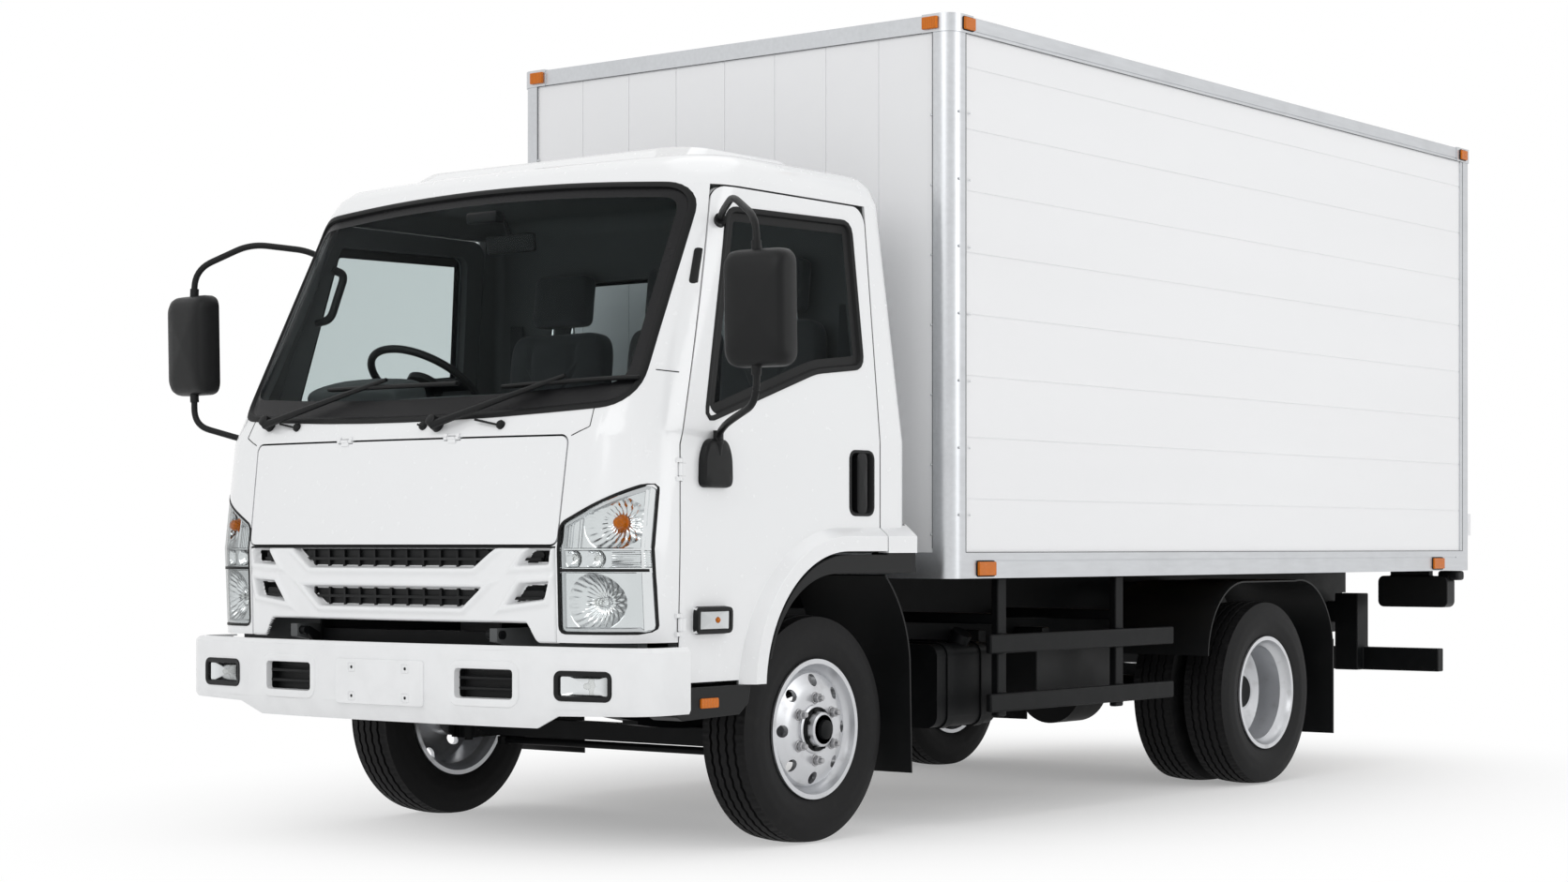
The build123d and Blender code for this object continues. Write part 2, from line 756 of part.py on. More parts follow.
def rear_axle():
    x = ax(REAR_AXLE)
    gearbox_end = ax(GEARBOX_REAR)
    with BuildPart() as axle:
        rod((x, -(REAR_OUTER_Y - 65), AXLE_Z), (x, REAR_OUTER_Y - 65, AXLE_Z), REAR_BORE - PIN_GAP)
        rod((x - 120, 0, AXLE_Z), (x + 110, 0, AXLE_Z), 165)
        rod((x + 100, 0, AXLE_Z), (x + 250, 0, AXLE_Z), 70)
        both_sides((x - 60, x + 60), (SPRINGS[1].y - 35, SPRINGS[1].y + 35), (AXLE_Z, SPRINGS[1].seat_z))
        rod((gearbox_end, 0, 560), (gearbox_end - 60, 0, 560), 62)
        rod((gearbox_end - 50, 0, 560), (x + 220, 0, AXLE_Z), 42)
    return axle.part


SpringSet = namedtuple("SpringSet", "axle_x half_length y seat_z rise leaf leaves")
SPRINGS = [
    SpringSet(0, 560, 394, 374, 70, 12, 3),
    SpringSet(REAR_AXLE, 640, 440, AXLE_Z + REAR_BORE, 74, 13, 4),
]


def leaf_springs():
    with BuildPart() as springs:
        for item in SPRINGS:
            for side in (1, -1):
                for number in range(item.leaves):
                    half = item.half_length * (1 - 0.2 * number)
                    level = item.seat_z + item.leaf * (item.leaves - 1 - number)
                    rise = item.rise * (half / item.half_length) ** 2
                    x = ax(item.axle_x)
                    with BuildSketch(Plane.XZ.offset(-(side * item.y + 35))) as leaf:
                        with BuildLine():
                            ThreePointArc((x - half, level + rise), (x, level), (x + half, level + rise))
                            Line((x + half, level + rise), (x + half, level + rise + item.leaf))
                            ThreePointArc((x + half, level + rise + item.leaf), (x, level + item.leaf),
                                          (x - half, level + rise + item.leaf))
                            Line((x - half, level + rise + item.leaf), (x - half, level + rise))
                        make_face()
                    extrude(leaf.sketch, amount=70)
                for end in (-1, 1):
                    x = ax(item.axle_x + end * (item.half_length - 8))
                    low = item.seat_z + item.leaf * (item.leaves - 1) + item.rise
                    block((x - 26, x + 26), (side * item.y - 35, side * item.y + 35),
                          (low - 10, RAIL_BOTTOM))
    return springs.part


def engine():
    with BuildPart() as engine_block:
        block((ax(ENGINE_REAR), ax(ENGINE_FRONT)), (-ENGINE_HALF, ENGINE_HALF), (ENGINE_BOTTOM, ENGINE_TOP))
        block((ax(GEARBOX_REAR), ax(ENGINE_REAR)), (-GEARBOX_HALF, GEARBOX_HALF),
              (GEARBOX_BOTTOM, GEARBOX_TOP))
        for side in (1, -1):
            block((ax(-60), ax(60)), span(side, ENGINE_HALF, RAIL_HALF - RAIL_WEB),
                  (ENGINE_FOOT_Z, ENGINE_FOOT_Z + 40))
        block((ax(GEARBOX_REAR + 100), ax(GEARBOX_REAR + 180)),
              (-RAIL_HALF + RAIL_WEB, RAIL_HALF - RAIL_WEB),
              (RAIL_BOTTOM + 50, RAIL_BOTTOM + 110))
    return engine_block.part


def fuel_tank():
    shell = [(TANK_INNER, TANK_BOTTOM), (TANK_OUTER, TANK_BOTTOM), (TANK_OUTER, TANK_TOP),
             (TANK_INNER, TANK_TOP)]
    band_low = TANK_BOTTOM - TANK_STRAP
    band_high = TANK_TOP + TANK_STRAP
    band = [(TANK_INNER - TANK_STRAP, band_low), (TANK_OUTER + TANK_STRAP, band_low),
            (TANK_OUTER + TANK_STRAP, band_high), (TANK_INNER - TANK_STRAP, band_high)]
    cap_x = ax((TANK_FRONT + TANK_REAR) / 2 - 20)
    with BuildPart() as tank:
        prism(Plane.YZ.offset(ax(TANK_REAR)), shell, TANK_FRONT - TANK_REAR, round_off=TANK_ROUND)
        for x in (TANK_REAR + 60, TANK_FRONT - 100):
            prism(Plane.YZ.offset(ax(x)), band, 40, round_off=TANK_ROUND + TANK_STRAP)
            block((ax(x), ax(x + 40)), (RAIL_HALF, TANK_INNER + 20), (TANK_TOP - 40, TANK_TOP + 40))
        rod((cap_x, TANK_OUTER - 60, TANK_TOP - 10), (cap_x, TANK_OUTER - 30, TANK_TOP + 40), 38)
    return tank.part


def battery_box():
    with BuildPart() as case:
        block((ax(BATTERY_REAR), ax(BATTERY_FRONT)), (BATTERY_INNER, BATTERY_OUTER),
              (BATTERY_BOTTOM, BATTERY_TOP))
        fillet(case.edges().filter_by(Axis.X), radius=BATTERY_ROUND)
        for x in (BATTERY_REAR + 40, BATTERY_FRONT - 100):
            block((ax(x), ax(x + 50)), (RAIL_HALF, BATTERY_INNER + 40),
                  (BATTERY_TOP - 20, BATTERY_TOP + 60))
    return case.part


def exhaust():
    start = (ax(ENGINE_REAR), -ENGINE_HALF + 35, SILENCER_Z + 20)
    front = ax(SILENCER_FRONT)
    rear = ax(SILENCER_REAR)
    lead = [start, (start[0] - 200, *start[1:]), (front + 490, SILENCER_Y, SILENCER_Z),
            (front - 50, SILENCER_Y, SILENCER_Z)]
    tail = [(rear + 50, SILENCER_Y, SILENCER_Z), (rear - 100, SILENCER_Y, SILENCER_Z - 20),
            (rear - 180, SILENCER_Y - 290, SILENCER_Z - 80)]
    with BuildPart() as pipe:
        rod((front, SILENCER_Y, SILENCER_Z), (rear, SILENCER_Y, SILENCER_Z), SILENCER_RADIUS)
        bent_tube(lead, PIPE_RADIUS, 2 * PIPE_RADIUS)
        bent_tube(tail, PIPE_RADIUS, 1.4 * PIPE_RADIUS)
        for x in (front - 110, rear + 150):
            block((x, x + 40), (SILENCER_Y - 30, -RAIL_HALF), (SILENCER_Z + 100, SILENCER_Z + 140))
    return pipe.part


# Chassis outside

def bumper_plan(inset, height):
    """Plan of the bumper at a height: gently bowed front and rounded ends."""
    end_x = ax(BUMPER_END_X - inset)
    half = BUMPER_HALF - inset
    with BuildSketch(Plane.XY.offset(height)) as plan:
        with BuildLine():
            ThreePointArc((end_x, -half), (ax(FRONT_OVERHANG - inset), 0), (end_x, half))
            Polyline((end_x, half), (ax(BUMPER_REAR_X), half), (ax(BUMPER_REAR_X), -half), (end_x, -half))
        make_face()
        fillet(plan.vertices().group_by(Axis.X)[-1], radius=BUMPER_CORNER - inset)
    return plan.sketch


def bumper_volume(inset):
    """Bumper outside moved inward by an inset: drawn in at its foot and at its upper edge."""
    with BuildPart() as volume:
        loft([bumper_plan(level.inset + inset, level.height) for level in BUMPER_LEVELS], ruled=True)
    return volume.part


def bumper_layer(outer, inner):
    """Part of the bumper between two insets."""
    with BuildPart() as layer:
        add(bumper_volume(outer))
        add(bumper_volume(inner), mode=Mode.SUBTRACT)
    return layer.part


def bumper_opening(low, high, side):
    """Opening in the bumper seen from the front, between a low and a high corner."""
    return [(side * low[0], low[1]), (side * high[0], low[1]), (side * high[0], high[1]),
            (side * low[0], high[1])]


def fog_volume():
    """Both fog lamp openings pushed through the bumper."""
    with BuildPart() as volume:
        for side in (1, -1):
            prism(Plane.YZ.offset(ax(BUMPER_CUT_X)), bumper_opening(*FOG, side), BUMPER_CUT_LENGTH,
                  round_off=BUMPER_OPENING_ROUND)
    return volume.part


def front_bumper():
    skin = bumper_layer(0, BUMPER_SKIN)
    with BuildPart() as bumper:
        extrude(bumper_plan(BUMPER_LEVELS[-1].inset, BUMPER_TOP - BUMPER_SKIN), amount=BUMPER_SKIN)
        extrude(bumper_plan(BUMPER_LEDGE, BUMPER_TOP - BUMPER_SKIN), amount=BUMPER_SKIN, mode=Mode.SUBTRACT)
        add(skin)
        for side in (1, -1):
            low_end = [(side * BUMPER_DROP_HALF, BUMPER_BOTTOM - 1), (side * 1200, BUMPER_BOTTOM - 1),
                       (side * 1200, BUMPER_END_BOTTOM + 10),
                       (side * (BUMPER_DROP_HALF + 100), BUMPER_END_BOTTOM)]
            prism(Plane.YZ.offset(ax(BUMPER_CUT_X)), low_end, BUMPER_CUT_LENGTH, Mode.SUBTRACT)
            for low, high in (BUMPER_VENT, FOG):
                prism(Plane.YZ.offset(ax(BUMPER_CUT_X)), bumper_opening(low, high, side), BUMPER_CUT_LENGTH,
                      Mode.SUBTRACT, BUMPER_OPENING_ROUND)
            block((ax(RAIL_FRONT), ax(FRONT_OVERHANG - 18)), span(side, RAIL_HALF - 65, RAIL_HALF - 5),
                  (RAIL_BOTTOM + 40, RAIL_BOTTOM + 70))
            for z in (PLATE_Z - PLATE_HOLES_HIGH / 2, PLATE_Z + PLATE_HOLES_HIGH / 2):
                y = side * PLATE_HOLES_WIDE / 2
                rod((ax(FRONT_OVERHANG - 35), y, z), (ax(FRONT_OVERHANG + 25), y, z), PLATE_HOLE,
                    Mode.SUBTRACT)
    return bumper.part


def fog_lamps():
    layer = bumper_layer(FOG_INSET, FOG_INSET + FOG_DEPTH)
    openings = fog_volume()
    with BuildPart() as lamps:
        add(layer)
        add(openings, mode=Mode.INTERSECT)
    return lamps.part


def front_mudguards():
    thick = MUDGUARD_THICK
    with BuildPart() as guards:
        for side in (1, -1):
            near = max(side * FRONT_GUARD_INNER, side * FRONT_GUARD_OUTER)
            with BuildSketch(Plane.XZ.offset(-near)) as sheet:
                with BuildLine():
                    ThreePointArc((ax(-330), 905), (ax(-432), 770), (ax(-478), 610))
                    Polyline((ax(-478), 610), (ax(-490), FRONT_FLAP_BOTTOM),
                             (ax(-490 - thick), FRONT_FLAP_BOTTOM),
                             (ax(-478 - thick - 2), 612))
                    ThreePointArc((ax(-478 - thick - 2), 612), (ax(-432 - thick), 775),
                                  (ax(-330 - thick), 910))
                    Line((ax(-330 - thick), 910), (ax(-330), 905))
                make_face()
            extrude(sheet.sketch, amount=FRONT_GUARD_OUTER - FRONT_GUARD_INNER)
            block((ax(-502), ax(-468)), span(side, RAIL_HALF, FRONT_GUARD_INNER + 40),
                  (RAIL_BOTTOM + 20, RAIL_TOP - 90))
    return guards.part


def side_guards():
    with BuildPart() as guards:
        for side in (1, -1):
            for low, high in GUARD_BARS:
                block((ax(GUARD_REAR), ax(GUARD_FRONT)), span(side, GUARD_Y, GUARD_Y + GUARD_BAR),
                      (low, high))
            for x in GUARD_POSTS:
                block((ax(x), ax(x + GUARD_POST)), span(side, GUARD_Y - 30, GUARD_Y),
                      (GUARD_BARS[1][0] - 20, BOX_BOTTOM))
                block((ax(x), ax(x + GUARD_POST)), span(side, RAIL_HALF, GUARD_Y - 25),
                      (RAIL_TOP - 60, RAIL_TOP - 20))
    return guards.part


def rear_mudguards():
    x = ax(REAR_AXLE)
    thick = MUDGUARD_THICK
    top = REAR_GUARD_TOP
    tip = REAR_GUARD_TIP
    front, rear, flat = REAR_GUARD_FRONT, REAR_GUARD_REAR, REAR_GUARD_FLAT
    with BuildPart() as guards:
        for side in (1, -1):
            near = max(side * REAR_GUARD_INNER, side * REAR_GUARD_OUTER)
            with BuildSketch(Plane.XZ.offset(-near)) as sheet:
                with BuildLine():
                    ThreePointArc((x + front, tip), (x + front - 56, tip + 170), (x + flat, top))
                    Line((x + flat, top), (x - flat, top))
                    ThreePointArc((x - flat, top), (x - rear + 56, tip + 170), (x - rear, tip))
                    Line((x - rear, tip), (x - rear + thick, tip))
                    ThreePointArc((x - rear + thick, tip), (x - rear + 56 + thick, tip + 166),
                                  (x - flat, top - thick))
                    Line((x - flat, top - thick), (x + flat, top - thick))
                    ThreePointArc((x + flat, top - thick), (x + front - 56 - thick, tip + 166),
                                  (x + front - thick, tip))
                    Line((x + front - thick, tip), (x + front, tip))
                make_face()
            extrude(sheet.sketch, amount=REAR_GUARD_OUTER - REAR_GUARD_INNER)
            block((x - rear - 4, x - rear + thick), span(side, REAR_GUARD_INNER, REAR_GUARD_OUTER),
                  (REAR_FLAP_BOTTOM, tip + 40))
            for end in (-200, 140):
                block((x + end, x + end + 60), span(side, RAIL_HALF, REAR_GUARD_INNER + 140),
                      (RAIL_TOP + 20, top - thick))
    return guards.part


def rear_underrun():
    rear = ax(UNDERRUN_REAR)
    with BuildPart() as underrun:
        block((rear, rear + 60), (-UNDERRUN_HALF, UNDERRUN_HALF), (UNDERRUN_BOTTOM, UNDERRUN_TOP))
        for side in (1, -1):
            block((rear, rear + 120), span(side, RAIL_HALF + 45, RAIL_HALF + 165),
                  (UNDERRUN_BOTTOM, RAIL_TOP))
            block((rear, rear + 120), span(side, RAIL_HALF, RAIL_HALF + 55),
                  (RAIL_TOP - 140, RAIL_TOP - 40))
    return underrun.part


def tail_lamps():
    with BuildPart() as lamps:
        for side in (1, -1):
            block((ax(TAIL_REAR), ax(TAIL_REAR + TAIL_DEEP)), span(side, TAIL_INNER, TAIL_OUTER),
                  (TAIL_BOTTOM, TAIL_TOP))
        fillet(lamps.edges().filter_by(Axis.X), radius=TAIL_ROUND)
        for side in (1, -1):
            block((ax(TAIL_REAR + 25), ax(TAIL_REAR + TAIL_DEEP - 10)),
                  span(side, TAIL_INNER + 60, TAIL_OUTER - 100),
                  (TAIL_TOP - 5, BOX_BOTTOM))
    return lamps.part


# Load box

def box_subframe():
    with BuildPart() as subframe:
        both_sides((ax(BOX_REAR + 40), ax(BOX_FRONT - 20)), (RAIL_HALF - RAIL_FLANGE, RAIL_HALF),
                   (RAIL_TOP, BOX_BOTTOM))
        step = (BOX_FRONT - BOX_REAR - 240) / (BEARER_COUNT - 1)
        for number in range(BEARER_COUNT):
            x = BOX_REAR + 120 + number * step
            block((ax(x - 25), ax(x + 25)), (-BOX_HALF + 50, BOX_HALF - 50), (BOX_BOTTOM, BOX_BOTTOM + 64))
    return subframe.part


def box_floor():
    with BuildPart() as floor:
        block((ax(BOX_REAR + 50), ax(BOX_FRONT - 40)), (-BOX_HALF + 40, BOX_HALF - 40),
              (BOX_BOTTOM + 64, BOX_BOTTOM + 64 + FLOOR_THICK))
    return floor.part


def side_wall_left():
    outer = BOX_HALF - PANEL_RECESS
    top = BOX_TOP - TOP_RAIL_HEIGHT
    bottom = BOX_BOTTOM + SIDE_RAIL_HEIGHT
    with BuildPart() as wall:
        block((ax(BOX_REAR + POST_SIZE), ax(BOX_FRONT - POST_SIZE)), (outer - PANEL_THICK, outer),
              (bottom, top))
        for number in range(PLANK_COUNT):
            z = top - 118 - number * PLANK_PITCH
            block((ax(BOX_REAR), ax(BOX_FRONT)), (outer - SEAM_DEPTH, outer + 1), (z - SEAM_WIDTH, z),
                  Mode.SUBTRACT)
    return wall.part


def box_front_wall():
    with BuildPart() as wall:
        front = BOX_FRONT - PANEL_RECESS
        block((ax(front - PANEL_THICK), ax(front)), (-BOX_HALF + POST_SIZE, BOX_HALF - POST_SIZE),
              (BOX_BOTTOM + SIDE_RAIL_HEIGHT, BOX_TOP - TOP_RAIL_HEIGHT))
        for number in range(-3, 4):
            y = number * BOARD_PITCH
            block((ax(front - SEAM_DEPTH), ax(front + 1)), (y - SEAM_WIDTH / 2, y + SEAM_WIDTH / 2),
                  (800, 3000),
                  Mode.SUBTRACT)
    return wall.part


def box_roof():
    with BuildPart() as roof:
        block((ax(BOX_REAR + 50), ax(BOX_FRONT - 40)), (-BOX_HALF + 40, BOX_HALF - 40),
              (BOX_TOP - 8 - ROOF_THICK, BOX_TOP - 8))
    return roof.part


def corner_caps():
    """Blocks that cap the four top corners of the box, a little proud of the rails."""
    proud = CAP_PROUD
    with BuildPart() as caps:
        block((ax(BOX_REAR - proud), ax(BOX_FRONT + proud)), (-BOX_HALF - proud, BOX_HALF + proud),
              (BOX_TOP - TOP_RAIL_HEIGHT, BOX_TOP + proud))
        fillet(caps.edges().filter_by(Axis.Z).group_by(Axis.X)[-1], radius=POST_ROUND + proud)
        block((ax(BOX_REAR + CAP_LENGTH), ax(BOX_FRONT - CAP_LENGTH)), (-2 * BOX_HALF, 2 * BOX_HALF),
              (0, 2 * BOX_TOP),
              Mode.SUBTRACT)
        block((ax(2 * BOX_REAR), ax(-2 * BOX_REAR)), (-BOX_HALF + CAP_LENGTH, BOX_HALF - CAP_LENGTH),
              (0, 2 * BOX_TOP),
              Mode.SUBTRACT)
    return caps.part


def box_frame():
    low = BOX_BOTTOM + SIDE_RAIL_HEIGHT
    high = BOX_TOP - TOP_RAIL_HEIGHT
    side_low, side_high = ax(BOX_REAR + POST_SIZE), ax(BOX_FRONT - POST_SIZE)
    side_window = [(side_low, low), (side_high, low), (side_high, high), (side_low, high)]
    half = BOX_HALF - POST_SIZE
    front_face = [(-half, low), (half, low), (half, high), (-half, high)]
    half = BOX_HALF - REAR_POST
    rear_face = [(-half, low), (half, low), (half, high), (-half, high)]
    axis_x = ax(BOX_REAR - REAR_HINGE_BACK)
    caps = corner_caps()
    with BuildPart() as rails:
        block((ax(BOX_REAR), ax(BOX_FRONT)), (-BOX_HALF, BOX_HALF), (BOX_BOTTOM, BOX_TOP))
        fillet(rails.edges().filter_by(Axis.Z).group_by(Axis.X)[-1], radius=POST_ROUND)
        add(caps)
        for side in (1, -1):
            prism(Plane.XZ.offset(-side * BOX_HALF - 60), side_window, 120, Mode.SUBTRACT)
            lip = span(side, BOX_HALF - RAIL_LIP_DEPTH, BOX_HALF + 1)
            for z in (low - RAIL_LIP_DROP, high + RAIL_LIP_DROP / 2):
                block((ax(BOX_REAR + CAP_LENGTH), ax(BOX_FRONT - CAP_LENGTH)), lip, (z - RAIL_LIP_WIDTH, z),
                      Mode.SUBTRACT)
        prism(Plane.YZ.offset(ax(BOX_FRONT) - 60), front_face, 120, Mode.SUBTRACT)
        prism(Plane.YZ.offset(ax(BOX_REAR) - 60), rear_face, 140, Mode.SUBTRACT)
        block((ax(BOX_REAR + 50), ax(BOX_FRONT - 40)), (-BOX_HALF + 40, BOX_HALF - 40),
              (BOX_BOTTOM - 1, BOX_TOP + 2 * CAP_PROUD), Mode.SUBTRACT)
        for side in (1, -1):
            axis_y = side * (BOX_HALF - REAR_HINGE_IN)
            for z in REAR_HINGE_Z:
                for low_z in (z - 70, z + 58):
                    block((axis_x - 10, ax(BOX_REAR)), (axis_y - 10, axis_y + 10), (low_z, low_z + 12))
                rod((axis_x, axis_y, z - 70), (axis_x, axis_y, z + 70), HINGE_PIN)
    return rails.part


def marker_lamps():
    cap = BOX_HALF + CAP_PROUD
    with BuildPart() as lamps:
        for side in (1, -1):
            for x in SIDE_LAMPS:
                block((ax(x - SIDE_LAMP_LONG), ax(x)), span(side, BOX_HALF, BOX_HALF + LAMP_PROUD),
                      (BOX_BOTTOM + 10, BOX_BOTTOM + 60))
            for x in CAP_LAMPS:
                block((ax(x - CAP_LAMP_LONG), ax(x)), span(side, cap, cap + LAMP_PROUD), CAP_LAMP_Z)
            block((ax(BOX_FRONT + CAP_PROUD), ax(BOX_FRONT + CAP_PROUD + LAMP_PROUD)),
                  span(side, cap - POST_ROUND - CAP_PROUD - CAP_LAMP_LONG, cap - POST_ROUND - CAP_PROUD),
                  CAP_LAMP_Z)
    return lamps.part


def rear_leaf_left():
    low = BOX_BOTTOM + SIDE_RAIL_HEIGHT + GAP
    high = BOX_TOP - TOP_RAIL_HEIGHT - GAP
    edge = BOX_HALF - REAR_POST - GAP
    axis_x = ax(BOX_REAR - REAR_HINGE_BACK)
    axis_y = BOX_HALF - REAR_HINGE_IN
    back = ax(BOX_REAR)
    with BuildPart() as leaf:
        block((back, back + LEAF_THICK), (GAP / 2, edge), (low, high))
        for z in REAR_HINGE_Z:
            strap = [(back, edge), (back, edge - 160), (back - 8, edge - 160), (back - 8, edge - 24),
                     (axis_x - 4, axis_y - 4), (axis_x + 6, axis_y + 4), (back - 2, edge - 2)]
            prism(Plane.XY.offset(z - 40), strap, 80)
            rod((axis_x, axis_y, z - 52), (axis_x, axis_y, z + 52), REAR_HINGE_RADIUS)
        rod((axis_x, axis_y, HINGE_DRUM_Z - 52), (axis_x, axis_y, HINGE_DRUM_Z + 52), HINGE_DRUM_RADIUS)
        for z in REAR_HINGE_Z:
            rod((axis_x, axis_y, z - 60), (axis_x, axis_y, z + 60), HINGE_PIN + PIN_GAP, Mode.SUBTRACT)
        bar_x = back - LOCK_BAR_OFF
        rod((bar_x, 120, low + 10), (bar_x, 120, high - 10), LOCK_BAR_RADIUS)
        for z in (low + 40, 1500, 2200, high - 40):
            block((bar_x - 14, back), (98, 142), (z - 15, z + 15))
        block((bar_x - 10, bar_x + 6), (110, 420), (1290, 1320))
        block((bar_x - 10, back), (380, 420), (1290, 1320))
    return leaf.part


# Cab panels

def door_hinge_lugs(side):
    """Fixed half of the two door hinges: pin and end lugs on the corner panel."""
    x = ax(DOOR_HINGE_X)
    y = side * DOOR_HINGE_Y
    for z in DOOR_HINGE_Z:
        rod((x, y, z - 22), (x, y, z + 22), HINGE_BARREL + 3, Mode.SUBTRACT)
        for low in (z - 36, z + 22):
            rod((x, y, low), (x, y, low + 14), HINGE_BARREL)
            block((x, x + 20), tuple(sorted((y - side * 20, y + side * 4))), (low, low + 14))
        rod((x, y, z - 36), (x, y, z + 36), HINGE_PIN)


def lid_hinge_lugs():
    """Fixed half of the two lid hinges, along the edge of the cowl."""
    x = ax(LID_HINGE_X)
    z = LID_TOP - GAP / 2
    for y in LID_HINGE_Y:
        rod((x, y - 19, z), (x, y + 19, z), HINGE_BARREL + 1, Mode.SUBTRACT)
        for low in (y - 34, y + 20):
            rod((x, low, z), (x, low + 14, z), HINGE_BARREL - 2)
            block((x - 14, x + 3), (low, low + 14), (z, z + 14))
        rod((x, y - 34, z), (x, y + 34, z), HINGE_PIN - 1)


def roof_panel(height, draft):
    """Plan of the raised middle of the roof, drawn in by a draft."""
    rear, front, half = ROOF_RAISE_REAR + draft, ROOF_RAISE_FRONT - 2 * draft, ROOF_RAISE_HALF - draft
    corners = [(ax(rear), -half), (ax(front), -half), (ax(front), half), (ax(rear), half)]
    return outline(Plane.XY.offset(height), corners, ROOF_RAISE_CORNER)


def cab_roof():
    roof_z = CAB_LEVELS[-1].height
    with BuildPart() as roof:
        add(SKIN)
        block((ax(-1000), ax(1500)), (-1500, 1500), (ROOF_SPLIT, 3000), Mode.INTERSECT)
        cut_windscreen()
        loft([roof_panel(roof_z - 10, 0), roof_panel(ROOF_RAISE_TOP, ROOF_RAISE_DRAFT)], ruled=True)
    return roof.part


def cab_back():
    flare = flare_volume()
    with BuildPart() as back:
        add(SKIN)
        add(flare)
        mirror(flare, about=Plane.XZ)
        block((ax(-1000), ax(DOOR_REAR)), (-1500, 1500), (ARCH_TOP, ROOF_SPLIT), Mode.INTERSECT)
        prism(Plane.YZ.offset(ax(BACK_CUT_X)), BACK_WINDOW, BACK_CUT_LENGTH, Mode.SUBTRACT,
              BACK_WINDOW_CORNER)
    return back.part


def lid_outline(gap):
    """Front lid seen from the front, drawn in by a gap."""
    return [(-LID_HALF + gap + 8, LID_BOTTOM + gap), (LID_HALF - gap - 8, LID_BOTTOM + gap),
            (LID_HALF - gap, LID_TOP - gap), (-LID_HALF + gap, LID_TOP - gap)]


GRILLE_HALF = LAMP_INNER - 12
GRILLE_MOUTH_HALF = 640
GRILLE_MOUTH_TOP = 752
GRILLE_FACE = [(-GRILLE_HALF, CAB_FRONT_BOTTOM), (GRILLE_HALF, CAB_FRONT_BOTTOM),
               (GRILLE_HALF, LID_BOTTOM), (-GRILLE_HALF, LID_BOTTOM)]
GRILLE_MOUTH = [(-GRILLE_MOUTH_HALF, CAB_FRONT_BOTTOM - 20), (GRILLE_MOUTH_HALF, CAB_FRONT_BOTTOM - 20),
                (GRILLE_MOUTH_HALF - 28, GRILLE_MOUTH_TOP), (-GRILLE_MOUTH_HALF + 28, GRILLE_MOUTH_TOP)]


def cab_front():
    keep = placed([
        (DOOR_FRONT, CAB_FRONT_BOTTOM), (1500, CAB_FRONT_BOTTOM), (1500, ROOF_SPLIT),
        (DOOR_TOP_FRONT, ROOF_SPLIT),
        (DOOR_FRONT, DOOR_BELT),
    ])
    with BuildPart() as front:
        add(SKIN)
        prism(Plane.XZ.offset(-1500), keep, 3000, Mode.INTERSECT)
        cut_windscreen()
        front_window(lid_outline(0), Mode.SUBTRACT, 30)
        front_window(GRILLE_FACE, Mode.SUBTRACT, 0)
        lamp_window(LAMP, Mode.SUBTRACT)
        lamp_window(flipped(LAMP), Mode.SUBTRACT)
        for side in (1, -1):
            door_hinge_lugs(side)
        lid_hinge_lugs()
    return front.part


def front_lid():
    with BuildPart() as lid:
        add(cab_layer(0, LID_THICK))
        front_window(lid_outline(GAP), Mode.INTERSECT, 26)
        x = ax(LID_HINGE_X)
        z = LID_TOP - GAP / 2
        for y in LID_HINGE_Y:
            rod((x, y - 36, z), (x, y + 36, z), HINGE_BARREL + 1, Mode.SUBTRACT)
            rod((x, y - 17, z), (x, y + 17, z), HINGE_BARREL - 2)
            block((x - 14, x + 3), (y - 17, y + 17), (z - 16, z))
            rod((x, y - 36, z), (x, y + 36, z), HINGE_PIN - 1 + PIN_GAP, Mode.SUBTRACT)
    return lid.part


SLOTS = [
    [(-360, 938), (360, 938), (452, 996), (-452, 996)],
    [(-330, 813), (330, 813), (405, 872), (-405, 872)],
    [(540, 946), (640, 952), (650, 992), (560, 990)],
    [(520, 822), (640, 830), (650, 868), (540, 866)],
    [(-640, 952), (-540, 946), (-560, 990), (-650, 992)],
    [(-640, 830), (-520, 822), (-540, 866), (-650, 868)],
]


def grille():
    with BuildPart() as panel:
        add(cab_layer(0, GRILLE_THICK))
        front_window(GRILLE_FACE, Mode.INTERSECT, 0)
        front_window(GRILLE_MOUTH, Mode.SUBTRACT, 0)
        for slot in SLOTS:
            front_window(slot, Mode.SUBTRACT, SLOT_ROUND)
    return panel.part


def rib_volume():
    """Upright ribs and level bars of the grille mesh, pushed forward."""
    with BuildPart() as volume:
        for number in range(-RIB_COUNT, RIB_COUNT + 1):
            block((ax(FRONT_CUT_X), ax(1200)), (number * RIB_PITCH - RIB_WIDTH / 2,
                                                number * RIB_PITCH + RIB_WIDTH / 2),
                  (LAMP_BOTTOM, LID_BOTTOM))
        for slot in SLOTS[:2]:
            middle = (slot[0][1] + slot[2][1]) / 2
            block((ax(FRONT_CUT_X), ax(1200)), (-GRILLE_HALF, GRILLE_HALF),
                  (middle - RIB_WIDTH / 2, middle + RIB_WIDTH / 2))
    return volume.part


def grille_mesh():
    openings = front_volume(SLOTS, SLOT_ROUND)
    ribs = rib_volume()
    with BuildPart() as bars:
        add(cab_layer(RIB_INSET, GRILLE_THICK))
        add(ribs, mode=Mode.INTERSECT)
        add(cab_layer(GRILLE_THICK - 6, GRILLE_THICK))
        add(openings, mode=Mode.INTERSECT)
    return bars.part


def headlamp_lenses():
    faces = lamp_volume()
    with BuildPart() as lenses:
        add(LENS_LAYER)
        add(faces, mode=Mode.INTERSECT)
    return lenses.part


def toe_space():
    """Room of the toe board behind the headlamps."""
    with BuildPart() as room:
        add(cab_volume(LAMP_WALL))
        block((ax(CAB_REAR), ax(TOE_X + TOE_SHEET + GAP)), (-CAB_HALF, CAB_HALF), (0, 3000), Mode.INTERSECT)
    return room.part


